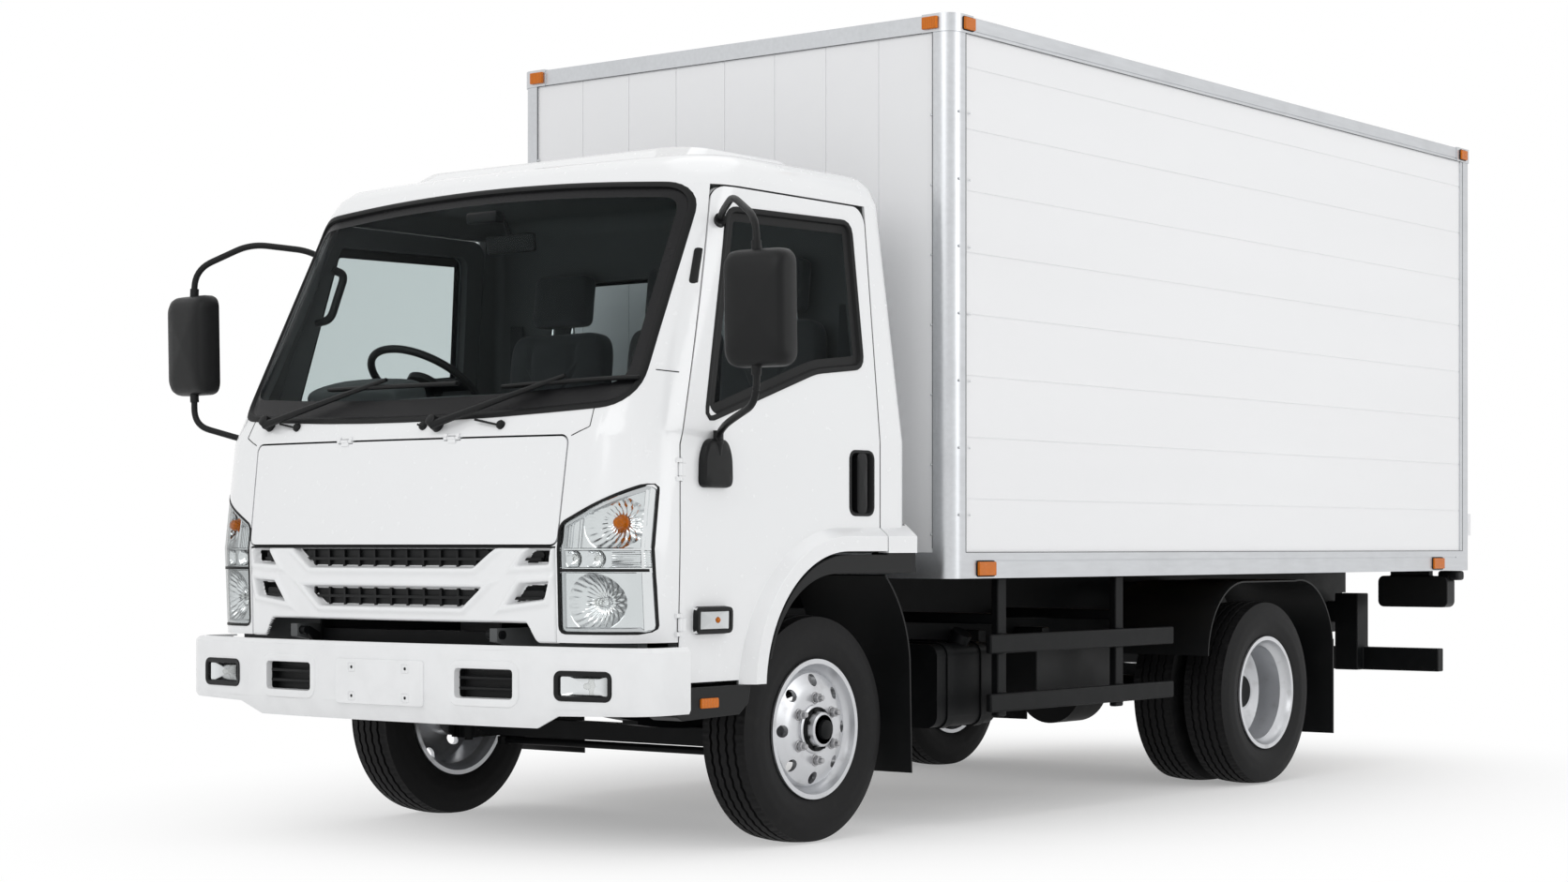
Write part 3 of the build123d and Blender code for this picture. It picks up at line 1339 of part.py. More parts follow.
def headlamp_housings():
    faces = lamp_volume()
    room = toe_space()
    with BuildPart() as housings:
        add(cab_layer(LENS_THICK, LAMP_DEPTH))
        add(faces, mode=Mode.INTERSECT)
        add(room, mode=Mode.SUBTRACT)
        for side in (1, -1):
            for bowl in LAMP_BOWLS:
                centre = (ax(bowl.x), side * bowl.y, bowl.z)
                with BuildSketch(Plane(origin=centre, x_dir=(0, 0, 1), z_dir=(0, 1, 0))) as arc:
                    with BuildLine():
                        ThreePointArc((0, -bowl.radius), (bowl.radius, 0), (0, bowl.radius))
                        Line((0, bowl.radius), (0, -bowl.radius))
                    make_face()
                revolve(arc.sketch, axis=Axis(centre, (1, 0, 0)), mode=Mode.SUBTRACT)
    return housings.part


def cab_glass():
    faces = glass_volume()
    with BuildPart() as glass:
        add(GLASS_LAYER)
        add(faces, mode=Mode.INTERSECT)
    return glass.part


def door_left():
    flare = flare_volume()
    window = door_window_volume()
    pull_x = (HANDLE_X[0] + HANDLE_X[1]) / 2
    pocket = placed([(HANDLE_X[0], HANDLE_Z[0]), (HANDLE_X[1], HANDLE_Z[0]), (HANDLE_X[1], HANDLE_Z[1]),
                     (HANDLE_X[0], HANDLE_Z[1])])
    x = ax(DOOR_HINGE_X)
    with BuildPart() as door:
        add(SKIN)
        add(flare)
        add(DOOR_LEAF, mode=Mode.INTERSECT)
        add(window, mode=Mode.SUBTRACT)
        prism(Plane.XZ.offset(-CAB_HALF + HANDLE_DEEP), pocket, -2 * HANDLE_DEEP, Mode.SUBTRACT,
              HANDLE_ROUND)
        block((ax(pull_x - 12), ax(pull_x + 12)), (CAB_HALF - HANDLE_DEEP - 2, CAB_HALF - 4),
              (HANDLE_Z[0] + 20, HANDLE_Z[1] - 20))
        block((ax(DOOR_LAMP_X[0]), ax(DOOR_LAMP_X[1])), (CAB_HALF - 30, CAB_HALF + LAMP_PROUD), DOOR_LAMP_Z)
        for z in DOOR_HINGE_Z:
            rod((x, DOOR_HINGE_Y, z - 38), (x, DOOR_HINGE_Y, z + 38), HINGE_BARREL + 3, Mode.SUBTRACT)
            rod((x, DOOR_HINGE_Y, z - 20), (x, DOOR_HINGE_Y, z + 20), HINGE_BARREL)
            block((x - 26, x), (DOOR_HINGE_Y - 20, DOOR_HINGE_Y + 4), (z - 20, z + 20))
            rod((x, DOOR_HINGE_Y, z - 38), (x, DOOR_HINGE_Y, z + 38), HINGE_PIN + PIN_GAP, Mode.SUBTRACT)
    return door.part


def door_glass_left():
    window = door_window_volume()
    with BuildPart() as glass:
        add(GLASS_LAYER)
        add(window, mode=Mode.INTERSECT)
    return glass.part


def mirror_left():
    head_x = ax(MIRROR_X + MIRROR_DEEP / 2)
    stem_y = (MIRROR_INNER + MIRROR_OUTER) / 2
    low_arm = [(ax(620), CAB_HALF - 15, 1280), (ax(720), CAB_HALF + 80, 1290), (head_x, stem_y - 10, 1490),
               (head_x, stem_y, MIRROR_BOTTOM + 40)]
    high_arm = [(ax(512), 925, 2075), (ax(660), 1090, 2090), (head_x, stem_y - 25, 2000),
                (head_x, stem_y, MIRROR_TOP - 40)]
    with BuildPart() as arm:
        block((ax(MIRROR_X), ax(MIRROR_X + MIRROR_DEEP)), (MIRROR_INNER, MIRROR_OUTER),
              (MIRROR_BOTTOM, MIRROR_TOP))
        fillet(arm.edges().filter_by(Axis.X), radius=MIRROR_CORNER)
        fillet(arm.faces().sort_by(Axis.X)[-1].edges(), radius=MIRROR_CROWN)
        fillet(arm.faces().sort_by(Axis.X)[0].edges(), radius=MIRROR_LIP)
        bent_tube(low_arm, MIRROR_TUBE, 40)
        bent_tube(high_arm, MIRROR_TUBE, 40)
        block((ax(MIRROR_FOOT_X[0]), ax(MIRROR_FOOT_X[1])), (CAB_HALF - 20, CAB_HALF + 26), MIRROR_FOOT_Z)
        add(SKIN, mode=Mode.SUBTRACT)
    return arm.part


def cab_floor():
    tunnel = TUNNEL_HALF + TUNNEL_SHEET
    deck = (DECK_Z, DECK_Z + TUNNEL_SHEET)
    side = 930
    with BuildPart() as floor:
        block((ax(CAB_REAR + CAB_WALL), ax(RISER_X + TUNNEL_SHEET)), (-side, side), deck)
        block((ax(RISER_X), ax(TOE_X + TOE_SHEET)), (-tunnel, tunnel), deck)
        block((ax(TOE_X), ax(TOE_X + TOE_SHEET)), (-tunnel, tunnel), (DECK_Z, 1330))
        both_sides((ax(RISER_X), ax(RISER_X + TUNNEL_SHEET)), (TUNNEL_HALF, side), (FOOT_Z, DECK_Z))
        both_sides((ax(RISER_X), ax(TOE_X + TOE_SHEET)), (TUNNEL_HALF, side),
                   (FOOT_Z, FOOT_Z + TUNNEL_SHEET))
        both_sides((ax(RISER_X), ax(TOE_X + TOE_SHEET)), (TUNNEL_HALF, tunnel), (FOOT_Z, DECK_Z))
        both_sides((ax(TOE_X), ax(TOE_X + TOE_SHEET)), (TUNNEL_HALF, CAB_HALF), (FOOT_Z, 1330))
        add(INSIDE, mode=Mode.INTERSECT)
        arm = placed([
            (TOE_X + 10, CAB_TILT_Z - TILT_ARM_ROOT), (CAB_TILT_X + TILT_ARM, CAB_TILT_Z - TILT_ARM),
            (CAB_TILT_X + TILT_ARM, CAB_TILT_Z + TILT_ARM), (TOE_X + 10, CAB_TILT_Z + TILT_ARM),
        ])
        for hand in (1, -1):
            face = hand * TUNNEL_HALF
            prism(Plane.XZ.offset(-face), arm, -hand * TUNNEL_SHEET)
            rod((ax(CAB_TILT_X), face - hand * 20, CAB_TILT_Z),
                (ax(CAB_TILT_X), face + hand * 90, CAB_TILT_Z),
                TILT_PIN + PIN_GAP, Mode.SUBTRACT)
    return floor.part


def dashboard():
    profile = placed([(700, 1080), (875, 1080), (875, 1380), (820, 1410), (690, 1390), (640, 1300),
                      (650, 1180)])
    tilt = radians(WHEEL_TILT)
    away = (sin(tilt), 0, -cos(tilt))
    hub = (ax(WHEEL_HUB[0]), WHEEL_HUB[1], WHEEL_HUB[2])
    start = tuple(place + COLUMN_START * part for place, part in zip(hub, away))
    end = tuple(place + COLUMN_END * part for place, part in zip(hub, away))
    with BuildPart() as dash:
        prism(Plane.XZ.offset(-DASH_HALF), profile, 2 * DASH_HALF, round_off=DASH_ROUND)
        add(INSIDE, mode=Mode.INTERSECT)
        rod(start, end, COLUMN_RADIUS)
        rod(hub, start, COLUMN_SHAFT)
    return dash.part


def seats():
    seat_z = DECK_Z + TUNNEL_SHEET
    cushion = placed([(-230, seat_z), (270, seat_z), (270, 1195), (220, 1215), (-230, 1190)])
    back = placed([(-330, 1170), (-190, 1180), (-250, 1760), (-350, 1760)])
    head = placed([(-345, 1790), (-265, 1790), (-285, 1960), (-355, 1960)])
    with BuildPart() as seat_set:
        for seat in SEATS:
            half = seat.width / 2
            prism(Plane.XZ.offset(-(seat.y + half)), cushion, seat.width, round_off=24)
            prism(Plane.XZ.offset(-(seat.y + half)), back, seat.width, round_off=36)
            prism(Plane.XZ.offset(-(seat.y + HEADREST_HALF)), head, 2 * HEADREST_HALF, round_off=24)
            for post in (-HEADREST_POST, HEADREST_POST):
                block((ax(-320), ax(-300)), (seat.y + post - 10, seat.y + post + 10), (1700, 1850))
    return seat_set.part


def steering_wheel():
    tilt = radians(WHEEL_TILT)
    normal = (-sin(tilt), 0, cos(tilt))
    hub = (ax(WHEEL_HUB[0]), WHEEL_HUB[1], WHEEL_HUB[2])
    plane = Plane(origin=hub, x_dir=(0, 1, 0), z_dir=normal)
    with BuildPart() as wheel:
        with BuildSketch(Plane(origin=hub, x_dir=(0, 1, 0), z_dir=(cos(tilt), 0, sin(tilt)))) as rim:
            with Locations((WHEEL_RADIUS, 0)):
                Circle(WHEEL_GRIP)
        revolve(rim.sketch, axis=Axis(hub, normal))
        with BuildSketch(plane.offset(-14)) as boss:
            Circle(70)
            Rectangle(2 * WHEEL_RADIUS, 44)
            Rectangle(44, WHEEL_RADIUS, align=(Align.CENTER, Align.MIN))
        extrude(boss.sketch, amount=22)
        with BuildSketch(plane.offset(-14)) as bore:
            Circle(COLUMN_SHAFT + PIN_GAP)
        extrude(bore.sketch, amount=16, mode=Mode.SUBTRACT)
    return wheel.part


def cab_lower_trims():
    outer = ARCH_RADIUS - GAP
    foot_x = ax(ARCH_X + sqrt(outer ** 2 - (ARCH_Z - LIP_FOOT_Z) ** 2))
    middle = outer * sqrt(0.5)
    step = placed([(STEP_REAR, STEP_TOP), (STEP_FRONT, STEP_TOP), (STEP_FRONT, STEP_BOTTOM + 14),
                   (STEP_FRONT - 30, STEP_BOTTOM),
                   (STEP_REAR + 60, STEP_BOTTOM + 8), (STEP_REAR + 12, STEP_BOTTOM + 44)])
    with BuildPart() as trims:
        for side in (1, -1):
            near = max(side * LIP_INNER, side * LIP_OUTER)
            with BuildSketch(Plane.XZ.offset(-near)) as lip:
                with BuildLine():
                    Polyline((ax(ARCH_X), ARCH_TOP - GAP), (ax(DOOR_REAR), ARCH_TOP - GAP),
                             (ax(DOOR_REAR), ARCH_TOP),
                             (ax(CAB_REAR), ARCH_TOP), (ax(CAB_REAR), LIP_LOW_Z), (ax(0), LIP_LOW_Z))
                    ThreePointArc((ax(0), LIP_LOW_Z), (ax(230), 838), (ax(LIP_FOOT_X), LIP_FOOT_Z))
                    Line((ax(LIP_FOOT_X), LIP_FOOT_Z), (foot_x, LIP_FOOT_Z))
                    ThreePointArc((foot_x, LIP_FOOT_Z), (ax(ARCH_X) + middle, ARCH_Z + middle),
                                  (ax(ARCH_X), ARCH_TOP - GAP))
                make_face()
            extrude(lip.sketch, amount=LIP_OUTER - LIP_INNER)
            near = max(side * STEP_INNER, side * STEP_OUTER)
            prism(Plane.XZ.offset(-near), step, STEP_OUTER - STEP_INNER)
            block((ax(500), ax(780)), span(side, STEP_INNER - 30, STEP_INNER + 20),
                  (STEP_BOTTOM + 44, FOOT_Z))
    return trims.part


def screen_point(y, z, off):
    """Point in front of the windscreen by an offset."""
    low, high = CAB_LEVELS[2], CAB_LEVELS[3]
    share = (z - low.height) / (high.height - low.height)
    nose = low.nose + share * (high.nose - low.nose)
    half = low.half_width + share * (high.half_width - low.half_width)
    return (ax(nose - low.bow * (y / half) ** 2 + off), y, z)


def wipers():
    with BuildPart() as arms:
        for y in (-679, 164):
            rod(screen_point(y, 1400, -20), screen_point(y, 1412, 34), 13)
            rod(screen_point(y, 1412, 26), screen_point(y + 330, 1530, 24), 7)
            rod(screen_point(y + 20, 1452, 18), screen_point(y + 610, 1600, 18), 6)
        add(SKIN, mode=Mode.SUBTRACT)
    return arms.part


LEFT_PIECES = {
    "frame_rail": frame_rail_left, "tyre_front": tyre_front_left, "rim_front": rim_front_left,
    "tyres_rear": tyres_rear_left,
    "rims_rear": rims_rear_left, "knuckle": knuckle_left, "box_side": side_wall_left,
    "rear_door": rear_leaf_left, "door": door_left, "door_glass": door_glass_left, "mirror": mirror_left,
}
PIECES = [
    frame_cross_members, front_axle, tie_rod, rear_axle, leaf_springs, engine, fuel_tank,
    battery_box, exhaust, front_bumper, fog_lamps, front_mudguards, side_guards, rear_mudguards,
    rear_underrun,
    tail_lamps, box_subframe, box_floor, box_front_wall, box_roof, box_frame, marker_lamps, cab_roof,
    cab_back,
    cab_front, front_lid, grille, grille_mesh, headlamp_lenses, headlamp_housings, cab_glass, cab_floor,
    dashboard,
    seats, steering_wheel, cab_lower_trims, wipers,
]


def save(part, name):
    """Write one piece under its node name."""
    part.label = name
    export_step(part, f"parts/{name}.step")


os.makedirs("parts", exist_ok=True)
for piece in PIECES:
    save(piece(), piece.__name__)
for name, piece in LEFT_PIECES.items():
    left = piece()
    save(left, name + "_left")
    save(other_side(left), name + "_right")
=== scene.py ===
"""Looks of a cab-over box truck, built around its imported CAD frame."""

import json
import math

import bmesh
import bpy
import numpy as np
from bpy.props import FloatProperty, FloatVectorProperty, IntProperty, PointerProperty
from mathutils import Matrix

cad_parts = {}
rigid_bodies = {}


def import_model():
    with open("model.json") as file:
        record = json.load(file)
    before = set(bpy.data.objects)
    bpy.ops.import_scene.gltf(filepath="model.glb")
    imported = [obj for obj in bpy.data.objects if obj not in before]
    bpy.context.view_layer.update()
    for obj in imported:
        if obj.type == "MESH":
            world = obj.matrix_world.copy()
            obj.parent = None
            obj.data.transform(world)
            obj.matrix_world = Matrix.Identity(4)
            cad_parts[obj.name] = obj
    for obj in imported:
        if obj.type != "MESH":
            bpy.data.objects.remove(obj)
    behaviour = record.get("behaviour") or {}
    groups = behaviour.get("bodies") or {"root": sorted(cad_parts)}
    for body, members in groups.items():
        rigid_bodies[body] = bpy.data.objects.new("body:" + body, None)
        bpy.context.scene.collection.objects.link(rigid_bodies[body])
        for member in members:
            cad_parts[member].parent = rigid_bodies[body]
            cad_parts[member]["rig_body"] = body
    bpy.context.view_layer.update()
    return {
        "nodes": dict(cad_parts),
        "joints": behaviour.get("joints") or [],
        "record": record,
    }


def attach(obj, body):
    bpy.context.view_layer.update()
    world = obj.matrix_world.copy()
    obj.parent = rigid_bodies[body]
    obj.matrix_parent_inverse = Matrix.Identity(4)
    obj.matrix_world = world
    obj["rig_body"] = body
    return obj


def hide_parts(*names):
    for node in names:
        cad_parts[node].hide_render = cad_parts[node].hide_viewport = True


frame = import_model()
NODES = frame["nodes"]
JOINTS = {joint["name"]: joint for joint in frame["joints"]}

bl_info = {
    "name": "Box truck looks",
    "version": (1, 0, 0),
    "blender": (4, 5, 0),
    "location": "3D View > Sidebar > Truck",
    "description": "Finishes, tyres, lamps, trim and seats of a cab-over box truck",
    "category": "Object",
}

# Places read from the frame: the two axles and the height of the wheel centres.
FRONT_AXLE = JOINTS["steer_left"]["pos_m"][0]
REAR_AXLE = JOINTS["wheels_rear_left_spin"]["pos_m"][0]
HUB_HEIGHT = JOINTS["steer_left"]["pos_m"][2]

# Heights of the cab: the fold under the windscreen and the start of the roof's curve.
WAIST = 1.37
ROOF_START = 2.2

# Front of the bumper: its middle ahead of the front axle, its bow and its half width.
BUMPER_NOSE = 1.135
BUMPER_BOW = 0.101
BUMPER_HALF = 1.075

# Middles of the tyres across the truck, on one side.
FRONT_TYRES = (0.840,)
REAR_TYRES = (0.685, 0.925)

# Load box: how far out its side rails stand.
BOX_SIDE = 1.046


def colour_property(name, description, default):
    """A colour that a user may change."""
    return FloatVectorProperty(
        name=name, description=description, default=default, subtype="COLOR", size=3, min=0, max=1
    )


def length_property(name, description, default):
    """A length in metres that a user may change."""
    return FloatProperty(name=name, description=description, default=default, unit="LENGTH")


class TruckColours(bpy.types.PropertyGroup):
    """Colours of the finishes."""

    cab_white: colour_property("Cab white", "Gloss paint of the cab", (0.84, 0.85, 0.86))
    panel_white: colour_property("Panel white", "Coated skin of the load box", (0.845, 0.85, 0.862))
    rail_grey: colour_property("Rail grey", "Aluminium rails and posts of the box", (0.60, 0.615, 0.635))
    plastic_black: colour_property("Plastic black", "Moulded plastic outside", (0.0075, 0.008, 0.0085))
    steel_black: colour_property("Steel black", "Painted frame and running gear", (0.0045, 0.005, 0.0055))
    tyre_black: colour_property("Tyre black", "Rubber of the tyres", (0.0045, 0.0045, 0.005))
    rim_silver: colour_property("Rim silver", "Paint of the wheels", (0.60, 0.61, 0.63))
    amber: colour_property("Amber", "Marker and turn lamps", (0.66, 0.165, 0.004))
    red: colour_property("Red", "Tail lamps", (0.45, 0.010, 0.012))
    glass_tint: colour_property("Glass tint", "Light left by one face of a window", (0.865, 0.895, 0.895))
    lining: colour_property("Lining", "Cab floor and inside panels", (0.105, 0.110, 0.112))
    seat_cloth: colour_property("Seat cloth", "Cover of the seats", (0.050, 0.052, 0.056))
    floor_board: colour_property("Floor board", "Boards of the load floor", (0.30, 0.19, 0.10))
    studio_floor: colour_property("Studio floor", "Floor under the truck", (0.97, 0.97, 0.97))


class TruckSizes(bpy.types.PropertyGroup):
    """Sizes of the pieces made here."""

    groove_depth: length_property("Groove depth", "Depth of the tread grooves", 0.009)
    groove_width: length_property("Groove width", "Width of the tread grooves", 0.009)
    tread_pitches: IntProperty(name="Tread pitches", description="Blocks round a tyre", default=56)


class Wire:
    """A shader value: the operators add Math nodes to its tree."""

    def __init__(self, finish, socket):
        self.finish = finish
        self.socket = socket

    def math(self, operation, other=None):
        """One Math node on this value."""
        sockets = {0: self} if other is None else {0: self, 1: other}
        return self.finish.node("ShaderNodeMath", {"operation": operation}, sockets)

    def __add__(self, other):
        return self.math("ADD", other)

    def __sub__(self, other):
        return self.math("SUBTRACT", other)

    def __rsub__(self, other):
        return self.finish.node("ShaderNodeMath", {"operation": "SUBTRACT"}, {0: other, 1: self})

    def __mul__(self, other):
        return self.math("MULTIPLY", other)

    def __pow__(self, other):
        return self.math("POWER", other)

    def __gt__(self, other):
        return self.math("GREATER_THAN", other)

    def __lt__(self, other):
        return self.math("LESS_THAN", other)

    def clamp(self):
        """The value held between 0 and 1."""
        return self.finish.node("ShaderNodeClamp", {}, {0: self})

    def step(self, low, high):
        """0 below low and 1 above high, smooth between them."""
        settings = {"interpolation_type": "SMOOTHSTEP"}
        return self.finish.node("ShaderNodeMapRange", settings, {0: self, 1: low, 2: high})


class Finish:
    """One material: a Principled shader and the nodes that feed it."""

    def __init__(self, name):
        self.material = bpy.data.materials.new(name)
        self.material.use_nodes = True
        self.tree = self.material.node_tree
        self.tree.nodes.clear()
        self.output = self.tree.nodes.new("ShaderNodeOutputMaterial")

    def node(self, kind, settings, sockets, out=0):
        """Adds a node: its settings first, then the values or links of its sockets. Gives one output."""
        node = self.tree.nodes.new(kind)
        for key, value in settings.items():
            setattr(node, key, value)
        for key, value in sockets.items():
            if isinstance(value, Wire):
                self.tree.links.new(value.socket, node.inputs[key])
            else:
                node.inputs[key].default_value = value
        return Wire(self, node.outputs[out])

    def place(self):
        """Object coordinates."""
        return self.node("ShaderNodeTexCoord", {}, {}, "Object")

    def axes(self):
        """Object coordinates as three values."""
        split = self.node("ShaderNodeSeparateXYZ", {}, {0: self.place()}).socket.node
        return [Wire(self, split.outputs[i]) for i in range(3)]

    def stretched(self, scale):
        """Object coordinates scaled by axis."""
        return self.node("ShaderNodeMapping", {}, {"Vector": self.place(), "Scale": scale})

    def noise(self, scale, detail=3.0, roughness=0.55, vector=None):
        """Cloudy values round 0.5."""
        sockets = {"Vector": vector or self.place(), "Scale": scale, "Detail": detail, "Roughness": roughness}
        return self.node("ShaderNodeTexNoise", {}, sockets, "Fac")

    def cells(self, scale):
        """Distance to the nearest of scattered points."""
        return self.node("ShaderNodeTexVoronoi", {}, {"Vector": self.place(), "Scale": scale}, "Distance")

    def mix(self, factor, first, second):
        """A colour between two colours."""
        sockets = {0: factor, 6: rgba(first), 7: rgba(second)}
        return self.node("ShaderNodeMix", {"data_type": "RGBA"}, sockets, 2)

    def bump(self, height, distance, strength=1.0, normal=None):
        """A normal bent by a height."""
        sockets = {"Height": height, "Distance": distance, "Strength": strength}
        if normal:
            sockets["Normal"] = normal
        return self.node("ShaderNodeBump", {}, sockets)

    def shader(self, **values):
        """The Principled shader, with sockets named in small letters."""
        sockets = {}
        for key, value in values.items():
            sockets[key.replace("_", " ").title().replace("Ior", "IOR")] = value
        if not isinstance(sockets["Base Color"], Wire):
            sockets["Base Color"] = rgba(sockets["Base Color"])
        return self.node("ShaderNodeBsdfPrincipled", {}, sockets)

    def finish(self, shader):
        """Ends the material with this shader."""
        self.tree.links.new(shader.socket, self.output.inputs["Surface"])
        return self.material

    def surface(self, **values):
        """Ends the material with a Principled shader."""
        return self.finish(self.shader(**values))


def rgba(colour):
    """A colour with alpha, or a link as it is."""
    if isinstance(colour, Wire):
        return colour
    return (*colour[:3], 1.0)


def shade(colour, factor):
    """A colour made lighter or darker."""
    return tuple(min(1.0, part * factor) for part in colour[:3])


def inside_cab_and_gap_shade(f):
    """1 on faces that look into the cab and 0 on its skin, from the distance to the plan of the cab. Faces
    more
    than 10 mm in from the skin count as inside, so the walls of the panel gaps take the dark lining too:
    painted shade of the gaps.
    """
    x, y, z = f.axes()
    corner = 0.21
    above = (z - WAIST).math("MAXIMUM", 0.0)
    below = (z - WAIST).math("MINIMUM", 0.0)
    crown = (z - ROOF_START).math("MAXIMUM", 0.0)
    half = 1.0 - above * 0.0867 - crown * crown * 7.0
    sunk = (1.0 - z).math("MAXIMUM", 0.0)
    front = 1.05 - above * 0.494 - below * 0.13 - sunk * 0.158 - y * y * 0.074 - crown * crown * 7.0
    ahead = (x - FRONT_AXLE - front + corner).math("MAXIMUM", 0.0)
    beside = (y.math("ABSOLUTE") - half + corner).math("MAXIMUM", 0.0)
    gap = (ahead * ahead + beside * beside).math("SQRT") - corner
    behind = x - FRONT_AXLE + 0.455 - above * 0.052
    # Faces 10 mm in from the skin already count as inside: painted shade on the walls of the panel gaps.
    return (gap < -0.010) * (behind > 0.010) * (z < 2.268)


def paint(name, colour, coat, roughness, soil, lining=None):
    """Sprayed gloss paint: fine orange peel, a slight drift of tone and soil low on the body. A lining may
    take its place inside the cab; its mask also paints the walls of the panel gaps dark, as painted shade."""
    f = Finish(name)
    height = f.axes()[2]
    drift = f.noise(1.7, 2.0)
    low = (1.0 - height.step(0.35, 1.15)) * f.noise(9.0, 5.0).step(0.35, 0.75)
    tone = f.mix(drift, shade(colour, 0.985), shade(colour, 1.01))
    tone = f.mix(low * soil, tone, shade(colour, 0.62))
    peel = f.noise(420.0, 1.0)
    rough = f.noise(38.0, 3.0) * 0.08 + roughness
    weight = coat
    if lining:
        # The lining mask also darkens the walls of the panel gaps: painted shade.
        lined_and_gap_shade = inside_cab_and_gap_shade(f)
        tone = f.mix(lined_and_gap_shade, tone, lining)
        rough = rough + lined_and_gap_shade * 0.4
        weight = (1.0 - lined_and_gap_shade) * coat
    return f.surface(
        base_color=tone, roughness=rough, coat_weight=weight, coat_roughness=0.06,
        normal=f.bump(peel, 0.00004),
    )


def sandwich_skin(name, colour):
    """Coated skin of a sandwich panel: faint waves, pin-point grain and dull gloss."""
    f = Finish(name)
    waves = f.noise(1.0, 2.0, vector=f.stretched((0.5, 1.0, 3.0)))
    grain = f.noise(260.0, 2.0)
    tone = f.mix(waves, shade(colour, 0.975), shade(colour, 1.015))
    rough = grain * 0.1 + 0.26
    normal = f.bump(waves, 0.004, 0.35, f.bump(grain, 0.0001))
    return f.surface(base_color=tone, roughness=rough, coat_weight=0.2, normal=normal)


def drawn_aluminium(name, colour, along):
    """Drawn aluminium: streaks along the profile, clouded gloss and small scratches."""
    f = Finish(name)
    streaks = f.noise(60.0, 3.0, vector=f.stretched(along))
    clouds = f.noise(4.0, 4.0)
    tone = f.mix(streaks, shade(colour, 0.90), shade(colour, 1.08))
    tone = f.mix(clouds.step(0.45, 0.75) * 0.25, tone, shade(colour, 0.75))
    return f.surface(
        base_color=tone, metallic=0.85, roughness=streaks * 0.18 + 0.27, normal=f.bump(streaks, 0.0002),
    )


def grained_plastic(name, colour, grain_scale, roughness):
    """Moulded plastic: leather-like grain, chalky where it has weathered."""
    f = Finish(name)
    grain = f.cells(grain_scale)
    weather = f.noise(5.0, 5.0).step(0.45, 0.8)
    tone = f.mix(weather * 0.6, shade(colour, 0.9), tuple(part + 0.003 for part in colour))
    rough = weather * 0.12 + roughness
    return f.surface(
        base_color=tone, roughness=rough, specular_ior_level=0.2, normal=f.bump(grain, 0.0003, 0.5),
    )


def frame_paint(name, colour):
    """Thick chassis paint with dust and stone chips."""
    f = Finish(name)
    dust = f.noise(14.0, 6.0, 0.65)
    chips = f.cells(70.0) < 0.10
    tone = f.mix(dust.step(0.5, 0.85) * 0.5, colour, tuple(part + 0.008 for part in colour))
    tone = f.mix(chips * 0.25, tone, (0.03, 0.028, 0.026))
    return f.surface(
        base_color=tone, roughness=dust * 0.25 + 0.33, specular_ior_level=0.12,
        normal=f.bump(dust, 0.0006, 0.5),
    )


def tyre_rubber(name, colour):
    """Matt rubber with a little road dust and mould marks."""
    f = Finish(name)
    dust = f.noise(22.0, 6.0, 0.6)
    fine = f.noise(500.0, 1.0)
    tone = f.mix(dust.step(0.45, 0.8) * 0.35, colour, (0.022, 0.0215, 0.021))
    return f.surface(
        base_color=tone, roughness=dust * 0.2 + 0.55, specular_ior_level=0.22, normal=f.bump(fine, 0.0002),
    )


def wheel_paint(name, colour):
    """Silver wheel paint: fine flake, brake dust in the corners."""
    f = Finish(name)
    flake = f.noise(900.0, 1.0)
    dust = f.noise(16.0, 5.0).step(0.5, 0.85)
    tone = f.mix(flake, shade(colour, 0.9), shade(colour, 1.1))
    tone = f.mix(dust * 0.35, tone, (0.20, 0.19, 0.18))
    return f.surface(
        base_color=tone, metallic=0.75, roughness=dust * 0.2 + 0.30, coat_weight=0.25,
        normal=f.bump(flake, 0.00008),
    )


def window_glass(name, tint, gloss):
    """Tinted glass: see-through by its tint, with mirror gloss that grows towards grazing angles."""
    f = Finish(name)
    smears = f.noise(6.0, 4.0, vector=f.stretched((1.0, 1.0, 0.4)))
    clear = f.node("ShaderNodeBsdfTransparent", {}, {"Color": rgba(tint)})
    mirror = f.shader(base_color=(0.02, 0.022, 0.024), roughness=smears * 0.04 + 0.01, specular_ior_level=0.5)
    edge_on = f.node("ShaderNodeLayerWeight", {}, {"Blend": 0.5}, "Facing")
    shine = (edge_on ** 5.0) * 0.9 + 0.035
    return f.finish(f.node("ShaderNodeMixShader", {}, {0: shine * gloss, 1: clear, 2: mirror}))


def lens_plastic(name, colour, glow, ribs):
    """Coloured lamp plastic: fine ribs inside, clear gloss outside and a faint painted glow of its own tone.
    """
    f = Finish(name)
    x, y, z = f.axes()
    ribbing = ((x + y) * ribs).math("SINE")
    spots = f.cells(140.0)
    tone = f.mix(ribbing * 0.5 + 0.5, shade(colour, 0.75), shade(colour, 1.15))
    tone = f.mix(spots.step(0.0, 0.6) * 0.3, tone, shade(colour, 0.6))
    # The emission of its own tone is a painted glow in the lens.
    return f.surface(
        base_color=tone, roughness=spots * 0.08 + 0.20, specular_ior_level=0.2, coat_weight=0.08,
        emission_color=tone, emission_strength=glow, normal=f.bump(ribbing, 0.0006, 0.6),
    )


def mirror_metal(name, colour, dull=0.05, depth=0.0):
    """Vacuum-plated reflector metal, slightly clouded; a depth paints shade on the parts that turn away from
    the view, darkening them towards black.
    """
    f = Finish(name)
    clouds = f.noise(11.0, 3.0)
    tone = f.mix(clouds, shade(colour, 0.92), shade(colour, 1.03))
    # Painted shade: faces seen edge-on are darkened by the depth.
    turned = f.node("ShaderNodeLayerWeight", {}, {"Blend": 0.5}, "Facing").step(0.12, 0.85)
    tone = f.mix(turned * depth, tone, shade(colour, 0.10))
    return f.surface(base_color=tone, metallic=1.0, roughness=clouds * 0.06 + dull)


